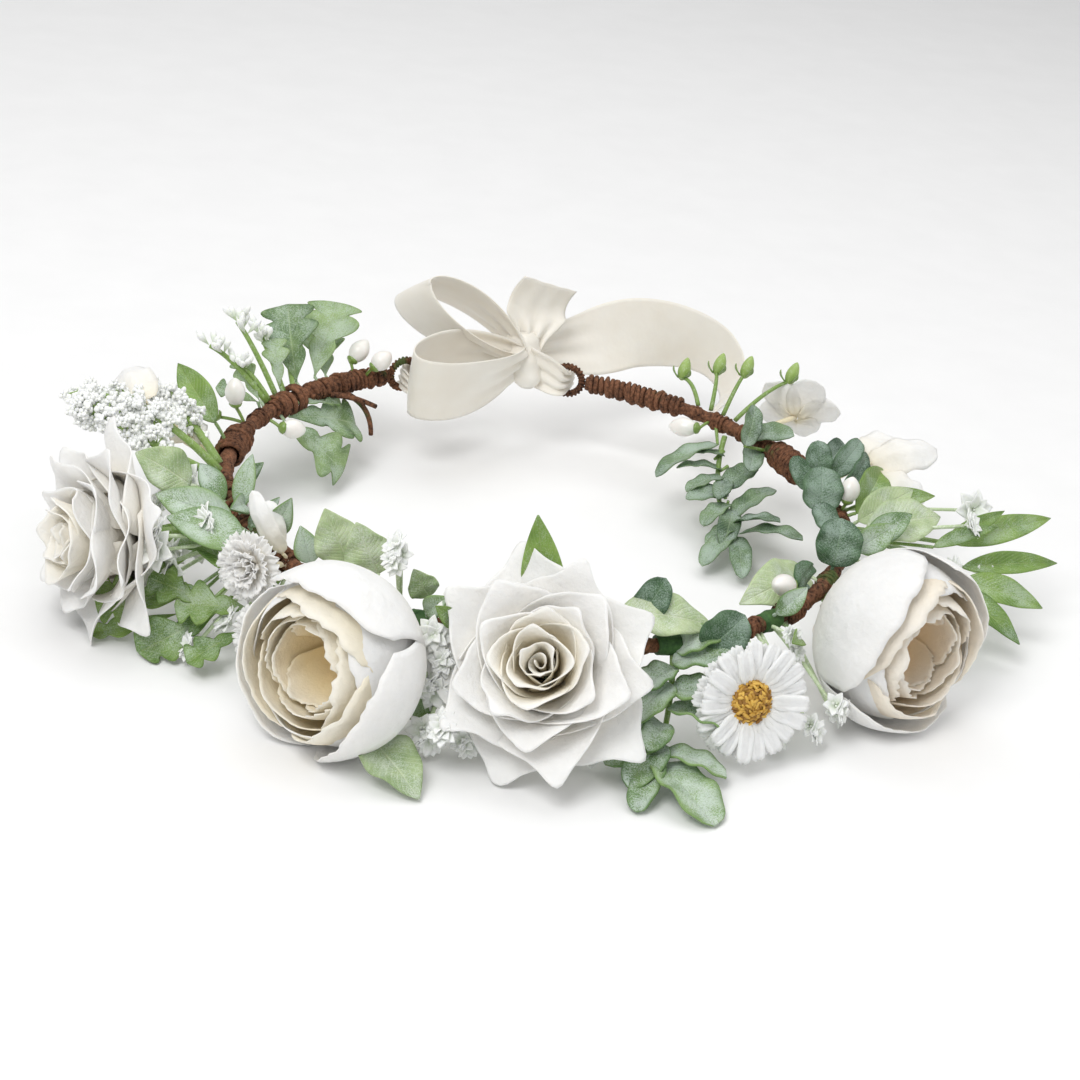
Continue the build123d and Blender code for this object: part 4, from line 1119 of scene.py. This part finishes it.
# ---- camera, light and floor ----
def make_camera():
    azimuth, elevation, roll = radians(-14.0), radians(25.15), radians(7.66)
    back = vec(sin(azimuth) * cos(elevation), -cos(azimuth) * cos(elevation), sin(elevation))
    right = vec(cos(azimuth), sin(azimuth), 0)
    top = np.cross(back, right)
    x_axis = right * cos(roll) + top * sin(roll)
    y_axis = top * cos(roll) - right * sin(roll)
    lens = bpy.data.cameras.new("camera")
    lens.lens = 81.7
    lens.sensor_width = 36.0
    lens.shift_x = 0.0043
    lens.shift_y = -0.0425
    lens.clip_start = 0.05
    camera = bpy.data.objects.new("camera", lens)
    bpy.context.collection.objects.link(camera)
    camera.matrix_world = Matrix([[*row, place] for row, place in
                                  zip(np.stack((x_axis, y_axis, back), 1).tolist(), (back * 0.7).tolist())]
                                 + [[0, 0, 0, 1]])
    bpy.context.scene.camera = camera


def make_light():
    bpy.context.scene.view_settings.view_transform = "Standard"
    for name, place, size, power in (
            ("key", (-0.45, -0.50, 0.85), 0.5, 6.0), ("fill", (0.75, -0.35, 0.5), 0.8, 1.3),
            ("top", (0.05, 0.25, 0.95), 0.9, 3.6)):
        lamp = bpy.data.lights.new(name, "AREA")
        lamp.size = size
        lamp.energy = power
        light = bpy.data.objects.new(name, lamp)
        bpy.context.collection.objects.link(light)
        aim = unit(vec(*place))
        side = unit(np.cross(UP, aim))
        light.matrix_world = Matrix([[*row, spot] for row, spot in
                                     zip(np.stack((side, np.cross(aim, side), aim), 1).tolist(), place)]
                                    + [[0, 0, 0, 1]])
    world = bpy.data.worlds.new("studio")
    bpy.context.scene.world = world
    world.use_nodes = True
    world.node_tree.nodes["Background"].inputs["Color"].default_value = (1.0, 1.0, 1.0, 1.0)
    world.node_tree.nodes["Background"].inputs["Strength"].default_value = 0.46


def make_floor():
    bpy.ops.mesh.primitive_plane_add(size=6.0, location=(0, 0, (FLOOR - 0.05) * MM))
    floor = bpy.context.object
    floor.name = "floor"
    n = Nodes("floor_paper")
    n.link(n.ramp(n.noise(40.0, 2.0), (0.3, 0.90), (0.7, 0.92)), "Base Color")
    n.set(Roughness=0.9)
    floor.data.materials.append(n.material)


make_hoop()
make_wires()
for peony, axes, inside in (("left_peony", Head(rim(-143, 30, -2), -128, 6, 20), PEONY_IN),
                            ("right_peony", Head(rim(133, 30, -2), 150, 4, 70), BLUSH)):
    make_peony(peony, axes, PEONY_R, inside)
make_rose("front_rose", Head(rim(-170, 16, 2), -158, 38), ROSE_R)
make_rose("side_rose", Head(rim(-105, 40, 0.1), -108, 4), SIDE_ROSE_R)
make_daisy()
make_leaves()
make_small_flowers()
make_berries()
make_ribbon()
make_camera()
make_light()
make_floor()
